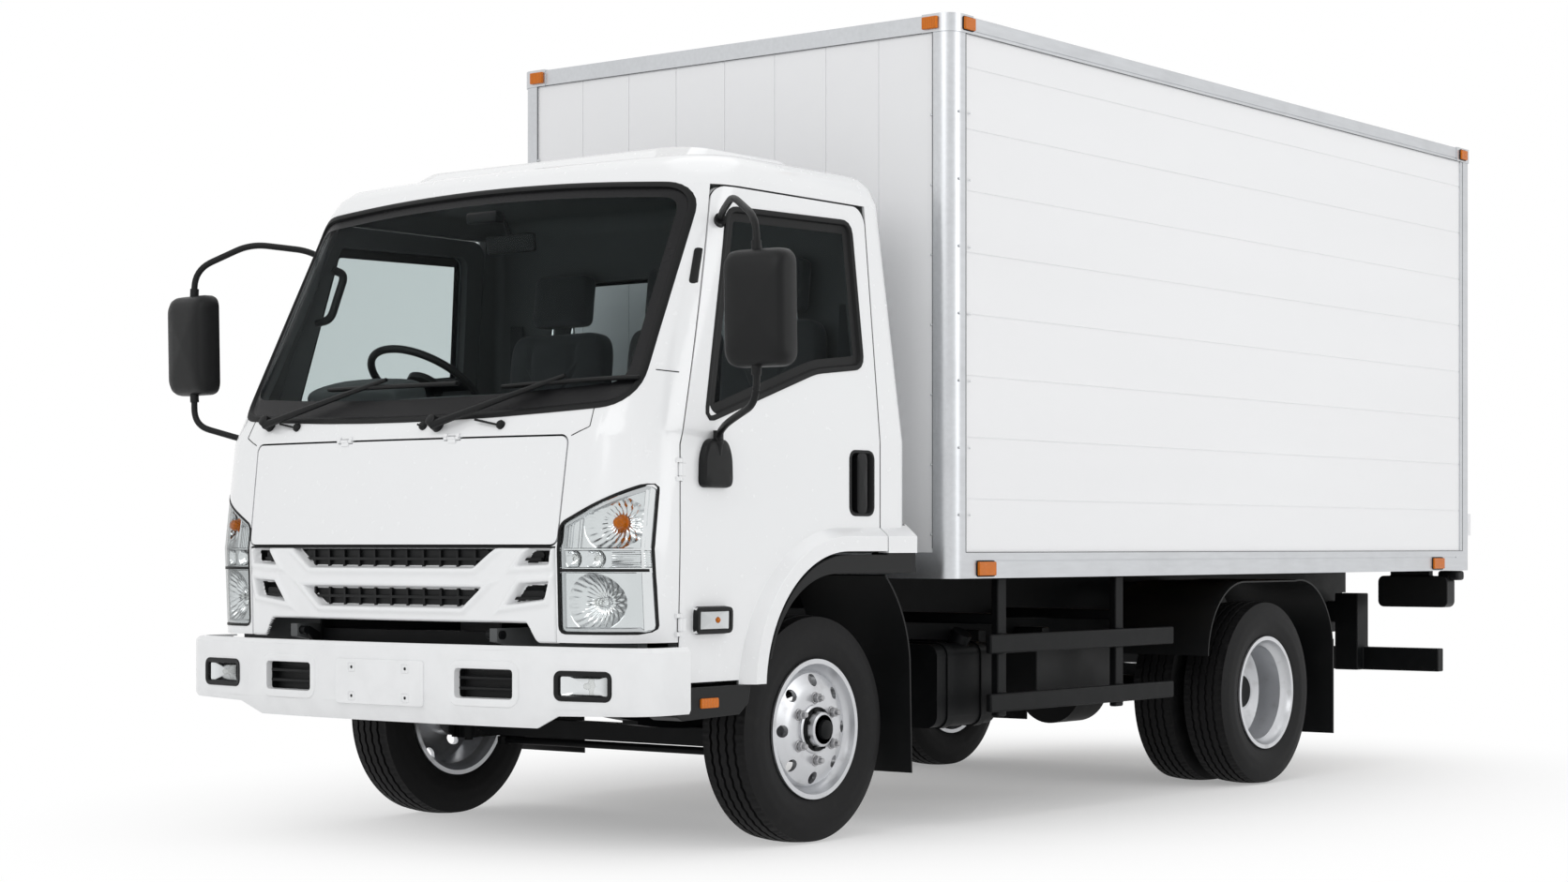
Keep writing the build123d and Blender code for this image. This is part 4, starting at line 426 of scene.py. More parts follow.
def exhaust_metal(name):
    """Heat-tinted steel with rust bloom."""
    f = Finish(name)
    bloom = f.noise(9.0, 6.0, 0.7)
    tone = f.mix(bloom.step(0.35, 0.75), (0.13, 0.12, 0.11), (0.16, 0.085, 0.045))
    return f.surface(
        base_color=tone, metallic=0.7, roughness=bloom * 0.3 + 0.35, normal=f.bump(bloom, 0.0008, 0.5),
    )


def cast_metal(name):
    """Rough casting with oily dust."""
    f = Finish(name)
    skin = f.noise(120.0, 4.0)
    oil = f.noise(6.0, 5.0).step(0.45, 0.7)
    tone = f.mix(oil, (0.05, 0.05, 0.052), (0.018, 0.016, 0.014))
    return f.surface(
        base_color=tone, metallic=0.4, roughness=0.62 - oil * 0.2, normal=f.bump(skin, 0.0012, 0.6),
    )


def floor_boards(name, colour):
    """Hardwood boards: grain along the truck and scuffs."""
    f = Finish(name)
    grain = f.noise(9.0, 5.0, 0.6, f.stretched((0.25, 3.0, 3.0)))
    scuffs = f.noise(3.0, 6.0, 0.7).step(0.55, 0.8)
    tone = f.mix(grain, shade(colour, 0.55), shade(colour, 1.25))
    tone = f.mix(scuffs * 0.4, tone, (0.33, 0.28, 0.22))
    return f.surface(base_color=tone, roughness=0.75 - grain * 0.2, normal=f.bump(grain, 0.0012, 0.6))


def woven_cloth(name, colour):
    """Plain weave: two sets of threads that pass over each other, with worn nap."""
    f = Finish(name)
    x, y, z = f.axes()
    warp = ((y + x * 0.35) * 2600.0).math("SINE")
    weft = ((z + x * 0.35) * 2600.0).math("SINE")
    weave = warp * weft
    nap = f.noise(14.0, 4.0)
    tone = f.mix(weave * 0.5 + 0.5, shade(colour, 0.7), shade(colour, 1.35))
    tone = f.mix(nap.step(0.5, 0.8) * 0.3, tone, shade(colour, 1.8))
    return f.surface(
        base_color=tone, roughness=0.92 - nap * 0.1, sheen_weight=0.25, normal=f.bump(weave, 0.0006, 0.5),
    )


def studio_floor_paint(name, colour):
    """Matt studio floor with a barely seen mottling that turns to plain white away from the truck. Near the
    truck three tenths of it still shows white glow to the camera, gloss and glass: painted light that
    lightens the truck's shadow.
    """
    f = Finish(name)
    mottle = f.noise(0.8, 3.0)
    tone = f.mix(mottle, shade(colour, 0.995), shade(colour, 1.005))
    matt = f.shader(base_color=tone, roughness=0.9, specular_ior_level=0.0)
    x, y, z = f.axes()
    # Painted light: three tenths of white glow stays in the truck's shadow, rising to all white away from it.
    away = (x * x * 0.55 + y * y).math("SQRT").step(1.0, 3.2) * 0.70 + 0.30
    path = f.node("ShaderNodeLightPath", {}, {}).socket.node
    camera, glossy, through = (
        Wire(f, path.outputs[kind]) for kind in ("Is Camera Ray", "Is Glossy Ray", "Is Transmission Ray")
    )
    seen = camera + glossy + through
    white = f.node("ShaderNodeEmission", {}, {"Color": (1, 1, 1, 1), "Strength": 1.0})
    return f.finish(f.node("ShaderNodeMixShader", {}, {0: (away * seen).clamp(), 1: matt, 2: white}))


def make_finishes(colours):
    """Every material of the truck, by finish."""
    tone = {name: tuple(getattr(colours, name)) for name in TruckColours.__annotations__}
    black = tone["plastic_black"]
    return {
        "white_paint": paint("cab_gloss_white", tone["cab_white"], 0.7, 0.22, 0.12, tone["lining"]),
        "white_plastic": paint("bumper_white", tone["cab_white"], 0.5, 0.28, 0.16),
        "white_panel": sandwich_skin("box_panel_white", tone["panel_white"]),
        "box_aluminium": drawn_aluminium("box_rail_aluminium", tone["rail_grey"], (0.15, 1.0, 1.0)),
        "black_steel": frame_paint("chassis_black", tone["steel_black"]),
        "black_plastic": grained_plastic("moulded_black", black, 900.0, 0.42),
        "tyre_rubber": tyre_rubber("tyre_rubber", tone["tyre_black"]),
        "rim_steel": wheel_paint("wheel_silver", tone["rim_silver"]),
        "clear_glass": window_glass("window_glass", tone["glass_tint"], 1.0),
        "lamp_glass": window_glass("lamp_lens_clear", (0.96, 0.97, 0.97), 0.9),
        # The lamp reflectors carry 0.85 of painted shade on faces seen edge-on.
        "lamp_chrome": mirror_metal("lamp_reflector", (0.86, 0.87, 0.88), 0.05, 0.85),
        "lamp_plastic": lens_plastic("amber_lens", tone["amber"], 0.04, 900.0),
        "red_lens": lens_plastic("red_lens", tone["red"], 0.10, 700.0),
        "white_lens": lens_plastic("white_lens", (0.75, 0.76, 0.77), 0.02, 800.0),
        "rubber_seal": grained_plastic("rubber_seal", shade(black, 0.8), 1400.0, 0.5),
        "joint_grey": grained_plastic("joint_grey", (0.16, 0.165, 0.17), 1400.0, 0.5),
        "satin_black": grained_plastic("satin_black", shade(black, 0.9), 1800.0, 0.38),
        "gloss_black": grained_plastic("screen_border_black", (0.006, 0.006, 0.007), 2500.0, 0.22),
        "lamp_bezel": mirror_metal("lamp_bezel", (0.60, 0.61, 0.62), 0.20),
        "mirror_glass": mirror_metal("mirror_glass", (0.80, 0.82, 0.83), 0.0),
        "bulb_glass": window_glass("bulb_glass", (0.97, 0.97, 0.96), 1.0),
        "zinc_steel": drawn_aluminium("zinc_steel", (0.40, 0.40, 0.41), (1.0, 1.0, 1.0)),
        "exhaust_steel": exhaust_metal("exhaust_steel"),
        "cast_engine": cast_metal("engine_casting"),
        "floor_board": floor_boards("load_floor_boards", tone["floor_board"]),
        "cab_lining": grained_plastic("cab_lining", tone["lining"], 600.0, 0.6),
        "seat_cloth": woven_cloth("seat_cloth", tone["seat_cloth"]),
        "studio_floor": studio_floor_paint("studio_floor", tone["studio_floor"]),
    }


FINISH = {}


def dress(obj, finish):
    """Gives a piece one finish."""
    obj.data.materials.clear()
    obj.data.materials.append(FINISH[finish])


def new_piece(name, vertices, faces, finish, body, smooth_angle=35.0):
    """A mesh piece from arrays, with smooth shading up to an angle, riding on a body."""
    mesh = bpy.data.meshes.new(name)
    mesh.from_pydata(np.asarray(vertices).tolist(), [], [list(face) for face in faces])
    mesh.update()
    mesh.polygons.foreach_set("use_smooth", np.ones(len(mesh.polygons), bool))
    mesh.set_sharp_from_angle(angle=math.radians(smooth_angle))
    obj = bpy.data.objects.new(name, mesh)
    bpy.context.scene.collection.objects.link(obj)
    dress(obj, finish)
    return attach(obj, body)


def grid_faces(rows, columns, close_rows=False, close_columns=False):
    """Quads of a grid of rows x columns points; a closed way joins its end to its start."""
    r = np.arange(rows if close_rows else rows - 1)
    c = np.arange(columns if close_columns else columns - 1)
    r, c = np.meshgrid(r, c, indexing="ij")
    r2 = (r + 1) % rows
    c2 = (c + 1) % columns
    quads = [r * columns + c, r2 * columns + c, r2 * columns + c2, r * columns + c2]
    return np.stack(quads, -1).reshape(-1, 4)


def trimmed(points, faces):
    """The points that the faces use, and the faces renumbered to them."""
    used, places = np.unique(faces, return_inverse=True)
    return np.asarray(points).reshape(-1, 3)[used], places.reshape(faces.shape)


def joined(parts):
    """Several (vertices, faces) pairs as one."""
    vertices = []
    faces = []
    count = 0
    for points, quads in parts:
        points = np.asarray(points).reshape(-1, 3)
        vertices.append(points)
        faces.extend((np.asarray(quads) + count).tolist())
        count += len(points)
    return np.concatenate(vertices), faces


def clean_copy(node, finish, bevel=0.0, smooth_angle=32.0):
    """A copy of a CAD node in its place: triangles merged, flat ones joined, smooth up to an angle and with
    eased edges."""
    source = NODES[node]
    mesh = source.data.copy()
    work = bmesh.new()
    work.from_mesh(mesh)
    bmesh.ops.remove_doubles(work, verts=work.verts, dist=1e-5)
    if bevel:
        bmesh.ops.dissolve_limit(work, angle_limit=0.02, verts=work.verts, edges=work.edges)
    work.to_mesh(mesh)
    work.free()
    for attribute in [a.name for a in mesh.attributes if a.name in ("custom_normal", "sharp_face")]:
        mesh.attributes.remove(mesh.attributes[attribute])
    mesh.polygons.foreach_set("use_smooth", np.ones(len(mesh.polygons), bool))
    mesh.set_sharp_from_angle(angle=math.radians(smooth_angle))
    obj = bpy.data.objects.new(node + "_skin", mesh)
    bpy.context.scene.collection.objects.link(obj)
    dress(obj, finish)
    if bevel:
        ease_edges(obj, bevel)
    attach(obj, source["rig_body"])
    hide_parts(node)
    return obj


def ease_edges(obj, width):
    """Rounds the sharp edges of a piece."""
    bevel = obj.modifiers.new("eased_edges", "BEVEL")
    bevel.width = width
    bevel.segments = 2
    bevel.limit_method = "ANGLE"
    bevel.angle_limit = math.radians(40)


SLOT_OF = {row["node"]: row["material_slot"] for row in frame["record"]["subparts"]}


def unit(vector):
    """Vectors of length 1."""
    vector = np.asarray(vector, float)
    return vector / np.linalg.norm(vector, axis=-1, keepdims=True)


def evenly(points, count, closed):
    """Points spaced evenly along the line through the given points."""
    line = np.vstack([points, points[:1]]) if closed else np.asarray(points)
    along = np.concatenate([[0], np.cumsum(np.linalg.norm(np.diff(line, axis=0), axis=1))])
    places = np.linspace(0, along[-1], count, endpoint=not closed)
    return np.stack([np.interp(places, along, line[:, k]) for k in range(line.shape[1])], 1)


def rounded(corners, cut, count, closed=True):
    """A line through corner points with rounded corners: each is cut back by a length and bridged by the
    parabola (1-t)^2 a + 2t(1-t) b + t^2 c from the cut before the corner b to the cut after it."""
    p = np.asarray(corners, float)
    cuts = np.broadcast_to(np.asarray(cut, float), len(p)).copy()
    if not closed:
        cuts[[0, -1]] = 0
    before = p + unit(np.roll(p, 1, 0) - p) * cuts[:, None]
    after = p + unit(np.roll(p, -1, 0) - p) * cuts[:, None]
    t = np.linspace(0, 1, 9)[None, :, None]
    curve = (1 - t) ** 2 * before[:, None] + 2 * t * (1 - t) * p[:, None] + t ** 2 * after[:, None]
    return evenly(curve.reshape(-1, p.shape[1]), count, closed)


def rectangle(low, high, cut, count=64):
    """A rounded rectangle between two corners, anticlockwise."""
    return rounded([low, (high[0], low[1]), high, (low[0], high[1])], cut, count)


def anticlockwise(loop):
    """The outline, turned round if it runs clockwise."""
    x, y = loop.T
    area = np.sum(x * np.roll(y, -1) - np.roll(x, -1) * y)
    return loop if area > 0 else loop[::-1]


def band(loop, offsets, lifts, surface):
    """A strip along a closed outline: each column is the outline moved out by an offset and lifted off a
    surface."""
    along = np.roll(loop, -1, 0) - np.roll(loop, 1, 0)
    out = unit(np.stack([along[:, 1], -along[:, 0]], 1))
    offsets = np.broadcast_to(np.asarray(offsets, float), (len(loop), np.shape(offsets)[-1]))
    flat = loop[:, None] + out[:, None] * offsets[..., None]
    return surface(flat, np.asarray(lifts, float)), grid_faces(len(loop), offsets.shape[1], close_rows=True)


def patch(loop, scales, lifts, surface):
    """A filled outline: rings that shrink to its middle by the scales, each lifted off a surface."""
    scales = np.asarray(scales, float)
    middle = (loop.min(0) + loop.max(0)) / 2
    flat = middle + (loop - middle)[:, None] * np.maximum(scales, 1e-3)[None, :, None]
    return surface(flat, np.asarray(lifts, float)), grid_faces(len(loop), len(scales), close_rows=True)


def field(low, high, rows, columns):
    """A grid of flat places between two corners."""
    ways = np.linspace(low[0], high[0], rows), np.linspace(low[1], high[1], columns)
    return np.stack(np.meshgrid(*ways, indexing="ij"), -1)


def sheet_grid(low, high, rows, columns, lift, surface):
    """A field of places between two corners, lifted off a surface."""
    flat = field(low, high, rows, columns)
    return surface(flat, np.full((rows, columns), lift)), grid_faces(rows, columns)


def lathe(profile, origin, axis, count=40):
    """A profile of (along, radius) pairs turned about an axis."""
    axis = unit(axis)
    side = unit(np.cross(axis, (0.0, 0.0, 1.0) if abs(axis[2]) < 0.9 else (1.0, 0.0, 0.0)))
    turn = np.linspace(0, 2 * np.pi, count, endpoint=False)[:, None]
    ring = np.cos(turn) * side + np.sin(turn) * np.cross(axis, side)
    along, radius = np.asarray(profile, float).T
    points = np.asarray(origin) + along[None, :, None] * axis + radius[None, :, None] * ring[:, None]
    return points, grid_faces(count, len(along), close_rows=True)


def tube(path, radius, count=12, flat=1.0):
    """A round or flattened section moved along a path, its ends closed."""
    path = np.asarray(path, float)
    ahead = unit(np.gradient(path, axis=0))
    side = unit(np.cross(ahead, (0.21, 0.13, 0.97)))
    radius = np.broadcast_to(np.asarray(radius, float), len(path)).copy()
    rows = np.concatenate([[0], np.arange(len(path)), [len(path) - 1]])
    radius = np.concatenate([[1e-4], radius, [1e-4]])[:, None, None]
    turn = np.linspace(0, 2 * np.pi, count, endpoint=False)[None, :, None]
    ring = np.cos(turn) * side[rows][:, None] + flat * np.sin(turn) * np.cross(ahead, side)[rows][:, None]
    return path[rows][:, None] + radius * ring, grid_faces(len(rows), count, close_columns=True)


def slab(low, high):
    """A box between two corners."""
    pick = np.array([(x, y, z) for x in (0, 1) for y in (0, 1) for z in (0, 1)])
    points = np.where(pick == 0, np.asarray(low, float), np.asarray(high, float))
    return points, [[0, 1, 3, 2], [4, 6, 7, 5], [0, 4, 5, 1], [2, 3, 7, 6], [0, 2, 6, 4], [1, 5, 7, 3]]


def other_side(part):
    """The mirror image of a piece across the middle of the truck."""
    points, faces = part
    points = np.asarray(points).reshape(-1, 3) * (1, -1, 1)
    return points, [list(face)[::-1] for face in faces]


# What turns left-hand pieces to each side.
SIDES = (("left", list), ("right", lambda parts: [other_side(part) for part in parts]))


def both_sides(parts):
    """Left-hand pieces and their mirror images."""
    return list(parts) + [other_side(part) for part in parts]


def piece(name, parts, finish, body, bevel=0.0, angle=35.0, stands_for=None):
    """One object from several surfaces, riding on a body, that may stand for a CAD node."""
    obj = new_piece(name, *joined(parts), finish, body, angle)
    if bevel:
        ease_edges(obj, bevel)
    if stands_for:
        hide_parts(stands_for)
    return obj


def at(x, y, z):
    """A place measured forward from the front axle."""
    return (FRONT_AXLE + x, y, z)


# Plan of the cab by height, as in the CAD frame: height, nose, bow of the front, half width, corner radius.
CAB_PLAN = np.array([
    (0.574, 1.086, 0.078, 0.990, 0.230),
    (1.000, 1.098, 0.078, 1.000, 0.230),
    (1.370, 1.050, 0.078, 1.000, 0.230),
    (2.200, 0.640, 0.062, 0.928, 0.200),
    (2.255, 0.604, 0.061, 0.908, 0.196),
    (2.288, 0.560, 0.060, 0.880, 0.190),
    (2.304, 0.505, 0.058, 0.842, 0.184),
])

# Part of the corner radius that the bow leaves to the corner.
CORNER_PART = 0.88


def plan_at(z):
    """Nose, bow, half width and corner radius of the cab at a height."""
    return [np.interp(z, CAB_PLAN[:, 0], CAB_PLAN[:, k]) for k in range(1, 5)]


def cab_front(y, z):
    """How far forward the cab's front is: a bow nose - b (y/half)^2 across the middle, and quarter circles
    that carry on from it at the corners."""
    nose, bow, half, corner = plan_at(z)
    y = np.abs(y)
    meet = half - CORNER_PART * corner
    slope = 2 * bow * meet / half ** 2
    lean = np.sqrt(1 + slope ** 2)
    meet = half - corner * (1 - slope / lean)
    centre = nose - bow * (meet / half) ** 2 - corner / lean
    round_part = centre + np.sqrt(np.maximum(corner ** 2 - (y - half + corner) ** 2, 0))
    return np.where(y < meet, nose - bow * (y / half) ** 2, round_part)


def cab_side(x, z):
    """How far out the cab's side is: flat, then round the front corner."""
    nose, bow, half, corner = plan_at(z)
    centre = nose - bow * ((half - CORNER_PART * corner) / half) ** 2 - corner
    return half - corner + np.sqrt(np.maximum(corner ** 2 - np.maximum(x - centre, 0) ** 2, 0))


def on_front(flat, lift):
    """Places (across, height) on the cab's front."""
    y, z = flat[..., 0], flat[..., 1]
    return np.stack([FRONT_AXLE + cab_front(y, z) + lift + 0 * y, y, z], -1)


def on_side(flat, lift):
    """Places (along, height) on the left side of the cab."""
    x, z = flat[..., 0], flat[..., 1]
    return np.stack([FRONT_AXLE + x, plan_at(z)[2] + lift + 0 * x, z], -1)


def on_bumper(flat, lift):
    """Places (across, height) on the front of the bumper."""
    y, z = flat[..., 0], flat[..., 1]
    return np.stack([FRONT_AXLE + BUMPER_NOSE - BUMPER_BOW * (y / BUMPER_HALF) ** 2 + lift + 0 * y, y, z], -1)


def facing(origin, right, up):
    """Places (right, up) on a plane, lifted along its normal."""
    out = np.cross(unit(right), unit(up))

    def surface(flat, lift):
        lift = np.asarray(lift) + 0 * flat[..., 0]
        in_plane = np.asarray(origin) + flat[..., :1] * unit(right) + flat[..., 1:] * unit(up)
        return in_plane + lift[..., None] * out

    return surface


def inside(flat, corners, soft=0.005):
    """Signed distance to a convex outline, below 0 within it, with softened corners."""
    p = anticlockwise(np.asarray(corners, float))
    along = unit(np.roll(p, -1, 0) - p)
    out = np.stack([along[:, 1], -along[:, 0]], 1)
    gaps = np.einsum("...k,nk->...n", flat, out) - np.sum(p * out, 1)
    return soft * np.log(np.sum(np.exp(np.clip(gaps / soft, -60, 60)), -1))


class TRUCK_OT_stage(bpy.types.Operator):
    """Floor, studio light and the camera at the photograph's angle"""

    bl_idname = "truck.stage"
    bl_label = "Stage"

    def execute(self, context):
        scene = context.scene
        scene.view_settings.view_transform = "Standard"
        floor_size = 60.0
        edge = floor_size * np.array([[-1, -1, 0], [1, -1, 0], [1, 1, 0], [-1, 1, 0]])
        mesh = bpy.data.meshes.new("studio_floor")
        mesh.from_pydata(edge.tolist(), [], [[0, 1, 2, 3]])
        floor = bpy.data.objects.new("studio_floor", mesh)
        scene.collection.objects.link(floor)
        dress(floor, "studio_floor")
        self.light_world(scene)
        self.add_lamps(scene)
        self.add_camera(scene)
        return {"FINISHED"}

    def light_world(self, scene):
        """An even sky that shows as white to the camera, to gloss and through glass."""
        world = bpy.data.worlds.new("studio")
        scene.world = world
        world.use_nodes = True
        tree = world.node_tree
        tree.nodes.clear()
        path = tree.nodes.new("ShaderNodeLightPath")
        sky = tree.nodes.new("ShaderNodeBackground")
        sky.inputs["Color"].default_value = (1.0, 1.0, 1.0, 1)
        sky.inputs["Strength"].default_value = 0.70
        white = tree.nodes.new("ShaderNodeBackground")
        white.inputs["Strength"].default_value = 1.0
        white.inputs["Color"].default_value = (1, 1, 1, 1)
        mix = tree.nodes.new("ShaderNodeMixShader")
        out = tree.nodes.new("ShaderNodeOutputWorld")
        seen = path.outputs["Is Camera Ray"]
        for kind in ("Is Glossy Ray", "Is Transmission Ray"):
            either = tree.nodes.new("ShaderNodeMath")
            either.operation = "MAXIMUM"
            tree.links.new(seen, either.inputs[0])
            tree.links.new(path.outputs[kind], either.inputs[1])
            seen = either.outputs[0]
        tree.links.new(seen, mix.inputs[0])
        tree.links.new(sky.outputs[0], mix.inputs[1])
        tree.links.new(white.outputs[0], mix.inputs[2])
        tree.links.new(mix.outputs[0], out.inputs[0])

    def add_lamps(self, scene):
        """A soft key ahead and left of the truck, a long top light and a weak fill from the side."""
        lamps = (
            ("key", (9.5, 1.5, 6.0), (0.8, 0.2, 1.3), 6.0, 165.0),
            ("top", (-0.5, 0.0, 8.5), (-0.5, 0.0, 0.0), 8.0, 90.0),
            ("fill", (-1.5, 10.0, 4.0), (-1.0, 0.0, 1.3), 7.0, 190.0),
        )
        for name, place, target, size, power in lamps:
            light = bpy.data.lights.new(name, "AREA")
            light.shape = "DISK"
            light.size = size
            light.energy = power
            lamp = bpy.data.objects.new(name, light)
            scene.collection.objects.link(lamp)
            direction = np.array(target) - np.array(place)
            lamp.location = place
            lamp.rotation_euler = look_angles(direction)

    def add_camera(self, scene):
        """The camera fitted to the photograph: level, looking back along the left front corner."""
        focal_pixels = 2950.3
        image_width = 1672.0
        image_height = 941.0
        horizon_row = 582.5
        view_yaw = math.radians(217.86)
        data = bpy.data.cameras.new("photo_camera")
        data.sensor_width = 36.0
        data.lens = focal_pixels / image_width * data.sensor_width
        data.shift_y = (horizon_row - image_height / 2) / image_width
        camera = bpy.data.objects.new("photo_camera", data)
        camera.location = (FRONT_AXLE + 7.471, 6.606, 1.009)
        camera.rotation_euler = (math.radians(90), 0, view_yaw - math.radians(90))
        scene.collection.objects.link(camera)
        scene.camera = camera


def look_angles(direction):
    """Turning angles of a lamp that shines along a direction."""
    x, y, z = direction
    level = math.hypot(x, y)
    return (math.atan2(level, -z), 0.0, math.atan2(y, x) - math.radians(90))


class TRUCK_OT_frame_finishes(bpy.types.Operator):
    """Finishes and eased edges on the pieces of the CAD frame"""

    bl_idname = "truck.frame_finishes"
    bl_label = "Frame finishes"

    made_here = {
        "tyre_front_left", "tyre_front_right", "tyres_rear_left", "tyres_rear_right",
        "mirror_left", "mirror_right", "wipers", "seats", "grille", "headlamp_housings",
    }
    finish_of = {"tail_lamps": "black_plastic"}
    eased = {
        "front_bumper": 0.004, "cab_lower_trims": 0.003, "cab_front": 0.002, "front_lid": 0.003,
        "door_left": 0.002, "door_right": 0.002, "box_frame": 0.003, "side_guards": 0.006,
        "rear_underrun": 0.005, "tail_lamps": 0.004, "battery_box": 0.006, "marker_lamps": 0.003,
        "dashboard": 0.006, "fog_lamps": 0.002,
    }

    def execute(self, context):
        for node in NODES:
            if node not in self.made_here:
                clean_copy(node, self.finish_of.get(node, SLOT_OF[node]), self.eased.get(node, 0.0))
        return {"FINISHED"}


class TRUCK_OT_wheel_fittings(bpy.types.Operator):
    """Wheel nuts and hub covers"""

    bl_idname = "truck.wheel_fittings"
    bl_label = "Wheel fittings"

    # Profiles of the hub covers, out from the middle of the tyre; the fourth point lies on the bolted flange.
    front_cover = (
        (0.093, 0.076), (0.104, 0.075), (0.107, 0.072), (0.107, 0.058), (0.126, 0.055), (0.130, 0.050),
        (0.130, 0.034), (0.142, 0.032), (0.146, 0.026), (0.146, 0.0),
    )
    rear_cover = (
        (-0.100, 0.098), (-0.060, 0.096), (-0.050, 0.092), (-0.050, 0.074), (-0.022, 0.070),
        (-0.016, 0.062), (-0.016, 0.0),
    )
    flange_point = 3
    bolt_count = 8
    nut_count = 6

    def execute(self, context):
        for side, word in ((1, "left"), (-1, "right")):
            rows = (
                ("wheel_front_" + word, FRONT_AXLE, FRONT_TYRES[-1], self.front_cover, 0.932, 0.106),
                ("wheels_rear_" + word, REAR_AXLE, REAR_TYRES[-1], self.rear_cover, 0.825, 0.121),
            )
            for body, axle, centre, cover, face, circle in rows:
                hub = lathe(cover, (axle, side * centre, HUB_HEIGHT), (0, side, 0), 64)
                flange = centre + cover[self.flange_point][0]
                bolts = [hub_bolt(axle, side, flange, turn) for turn in range(self.bolt_count)]
                piece(body + "_hub_cover", [hub] + bolts, "black_steel", body)
                nuts = []
                for turn in range(self.nut_count):
                    nuts += wheel_nut(axle, side, face, circle, turn)
                piece(body + "_nuts", nuts, "zinc_steel", body, angle=25.0)
        return {"FINISHED"}


def round_hub(axle, side, face, circle, degrees):
    """A place on a circle about a wheel's axle."""
    angle = math.radians(degrees)
    return (axle + circle * math.cos(angle), side * face, HUB_HEIGHT + circle * math.sin(angle))


def hub_bolt(axle, side, face, turn):
    """A small six-sided bolt head on a hub flange."""
    circle = 0.066 if axle == FRONT_AXLE else 0.084
    origin = round_hub(axle, side, face, circle, 22.5 + 45 * turn)
    return lathe([(-0.002, 0.0068), (0.006, 0.0068), (0.0075, 0.005), (0.0075, 0.0)], origin, (0, side, 0), 6)


def wheel_nut(axle, side, face, circle, turn):
    """A nut: a six-sided profile with a chamfer and a washer turned about its stud, and the stud's end."""
    origin = round_hub(axle, side, face, circle, 30 + 60 * turn)
    axis = (0, side, 0)
    washer = lathe([(0.0, 0.021), (0.003, 0.020), (0.004, 0.016)], origin, axis, 24)
    nut = lathe([(0.003, 0.0165), (0.019, 0.0165), (0.022, 0.0135), (0.022, 0.0)], origin, axis, 6)
    stud = lathe([(0.020, 0.0095), (0.033, 0.0095), (0.036, 0.007), (0.036, 0.0)], origin, axis, 16)
    return [washer, nut, stud]


SCREEN_CORNERS = [
    (-0.905, 1.462), (-0.45, 1.4365), (0.0, 1.428), (0.45, 1.4365), (0.905, 1.462),
    (0.872, 2.176), (0.44, 2.206), (0.0, 2.216), (-0.44, 2.206), (-0.872, 2.176),
]
SCREEN_CUTS = (0.10, 0.2, 0.2, 0.2, 0.10, 0.09, 0.2, 0.2, 0.2, 0.09)
DOOR_WINDOW = [(0.655, 1.412), (0.060, 1.600), (-0.205, 1.628), (-0.190, 2.118), (0.468, 2.105)]


class TRUCK_OT_glass_seals(bpy.types.Operator):
    """Rubber round the windows and the black border of the windscreen"""

    bl_idname = "truck.glass_seals"
    bl_label = "Glass seals"

    def execute(self, context):
        screen = rounded(SCREEN_CORNERS, SCREEN_CUTS, 240)
        lips = (0.014, 0.012, 0.004, -0.004, -0.010)
        heights = (-0.002, 0.003, 0.0045, 0.002, -0.0095)
        piece("windscreen_seal", [band(screen, lips, heights, on_front)], "rubber_seal", "cab")
        low = np.clip((1.58 - screen[:, 1]) / 0.10, 0, 1)
        width = 0.034 + 0.026 * low ** 2 * (3 - 2 * low)
        inward = -0.006 - width[:, None] * np.array([0.0, 0.5, 1.0])
        piece("windscreen_border", [band(screen, inward, (-0.0088,) * 3, on_front)], "gloss_black", "cab")
        window = anticlockwise(rounded(DOOR_WINDOW, 0.04, 160))
        rubber = band(window, lips, heights, on_side)
        edge = band(window, (-0.006, -0.020, -0.036), (-0.0070, -0.0070, -0.0088), on_side)
        for word, turn in SIDES:
            piece("door_window_seal_" + word, turn([rubber, edge]), "rubber_seal", "door_" + word)
        wall = facing(at(-0.455, 0, WAIST), (0, -1, 0), (0.043, 0, 0.83))
        back = rectangle((-0.56, 0.19), (0.56, 0.64), 0.06, 160)
        piece("back_window_seal", [band(back, (0.02, 0.018, 0.0, -0.012), (0, 0.006, 0.006, -0.012), wall)],
              "rubber_seal", "cab")
        return {"FINISHED"}


# Outlines of the slots in the grille, and the half width, foot and top of the grille.
LEFT_SLOTS = (
    [(0.607, 0.998), (0.690, 0.998), (0.684, 0.955), (0.570, 0.950)],
    [(0.575, 0.887), (0.680, 0.893), (0.665, 0.843), (0.526, 0.826)],
)
SLOTS = (
    [(-0.470, 1.004), (0.470, 1.004), (0.380, 0.942), (-0.380, 0.942)],
    [(-0.405, 0.873), (0.405, 0.873), (0.330, 0.814), (-0.330, 0.814)],
    *LEFT_SLOTS,
    *([(-y, z) for y, z in corners] for corners in LEFT_SLOTS),
)
GRILLE_HALF = 0.711
GRILLE_FOOT = 0.700
GRILLE_TOP = 1.006


def blend_in(value, low, high):
    """0 below low and 1 above high, smooth between them."""
    t = np.clip((value - low) / (high - low), 0, 1)
    return t * t * (3 - 2 * t)


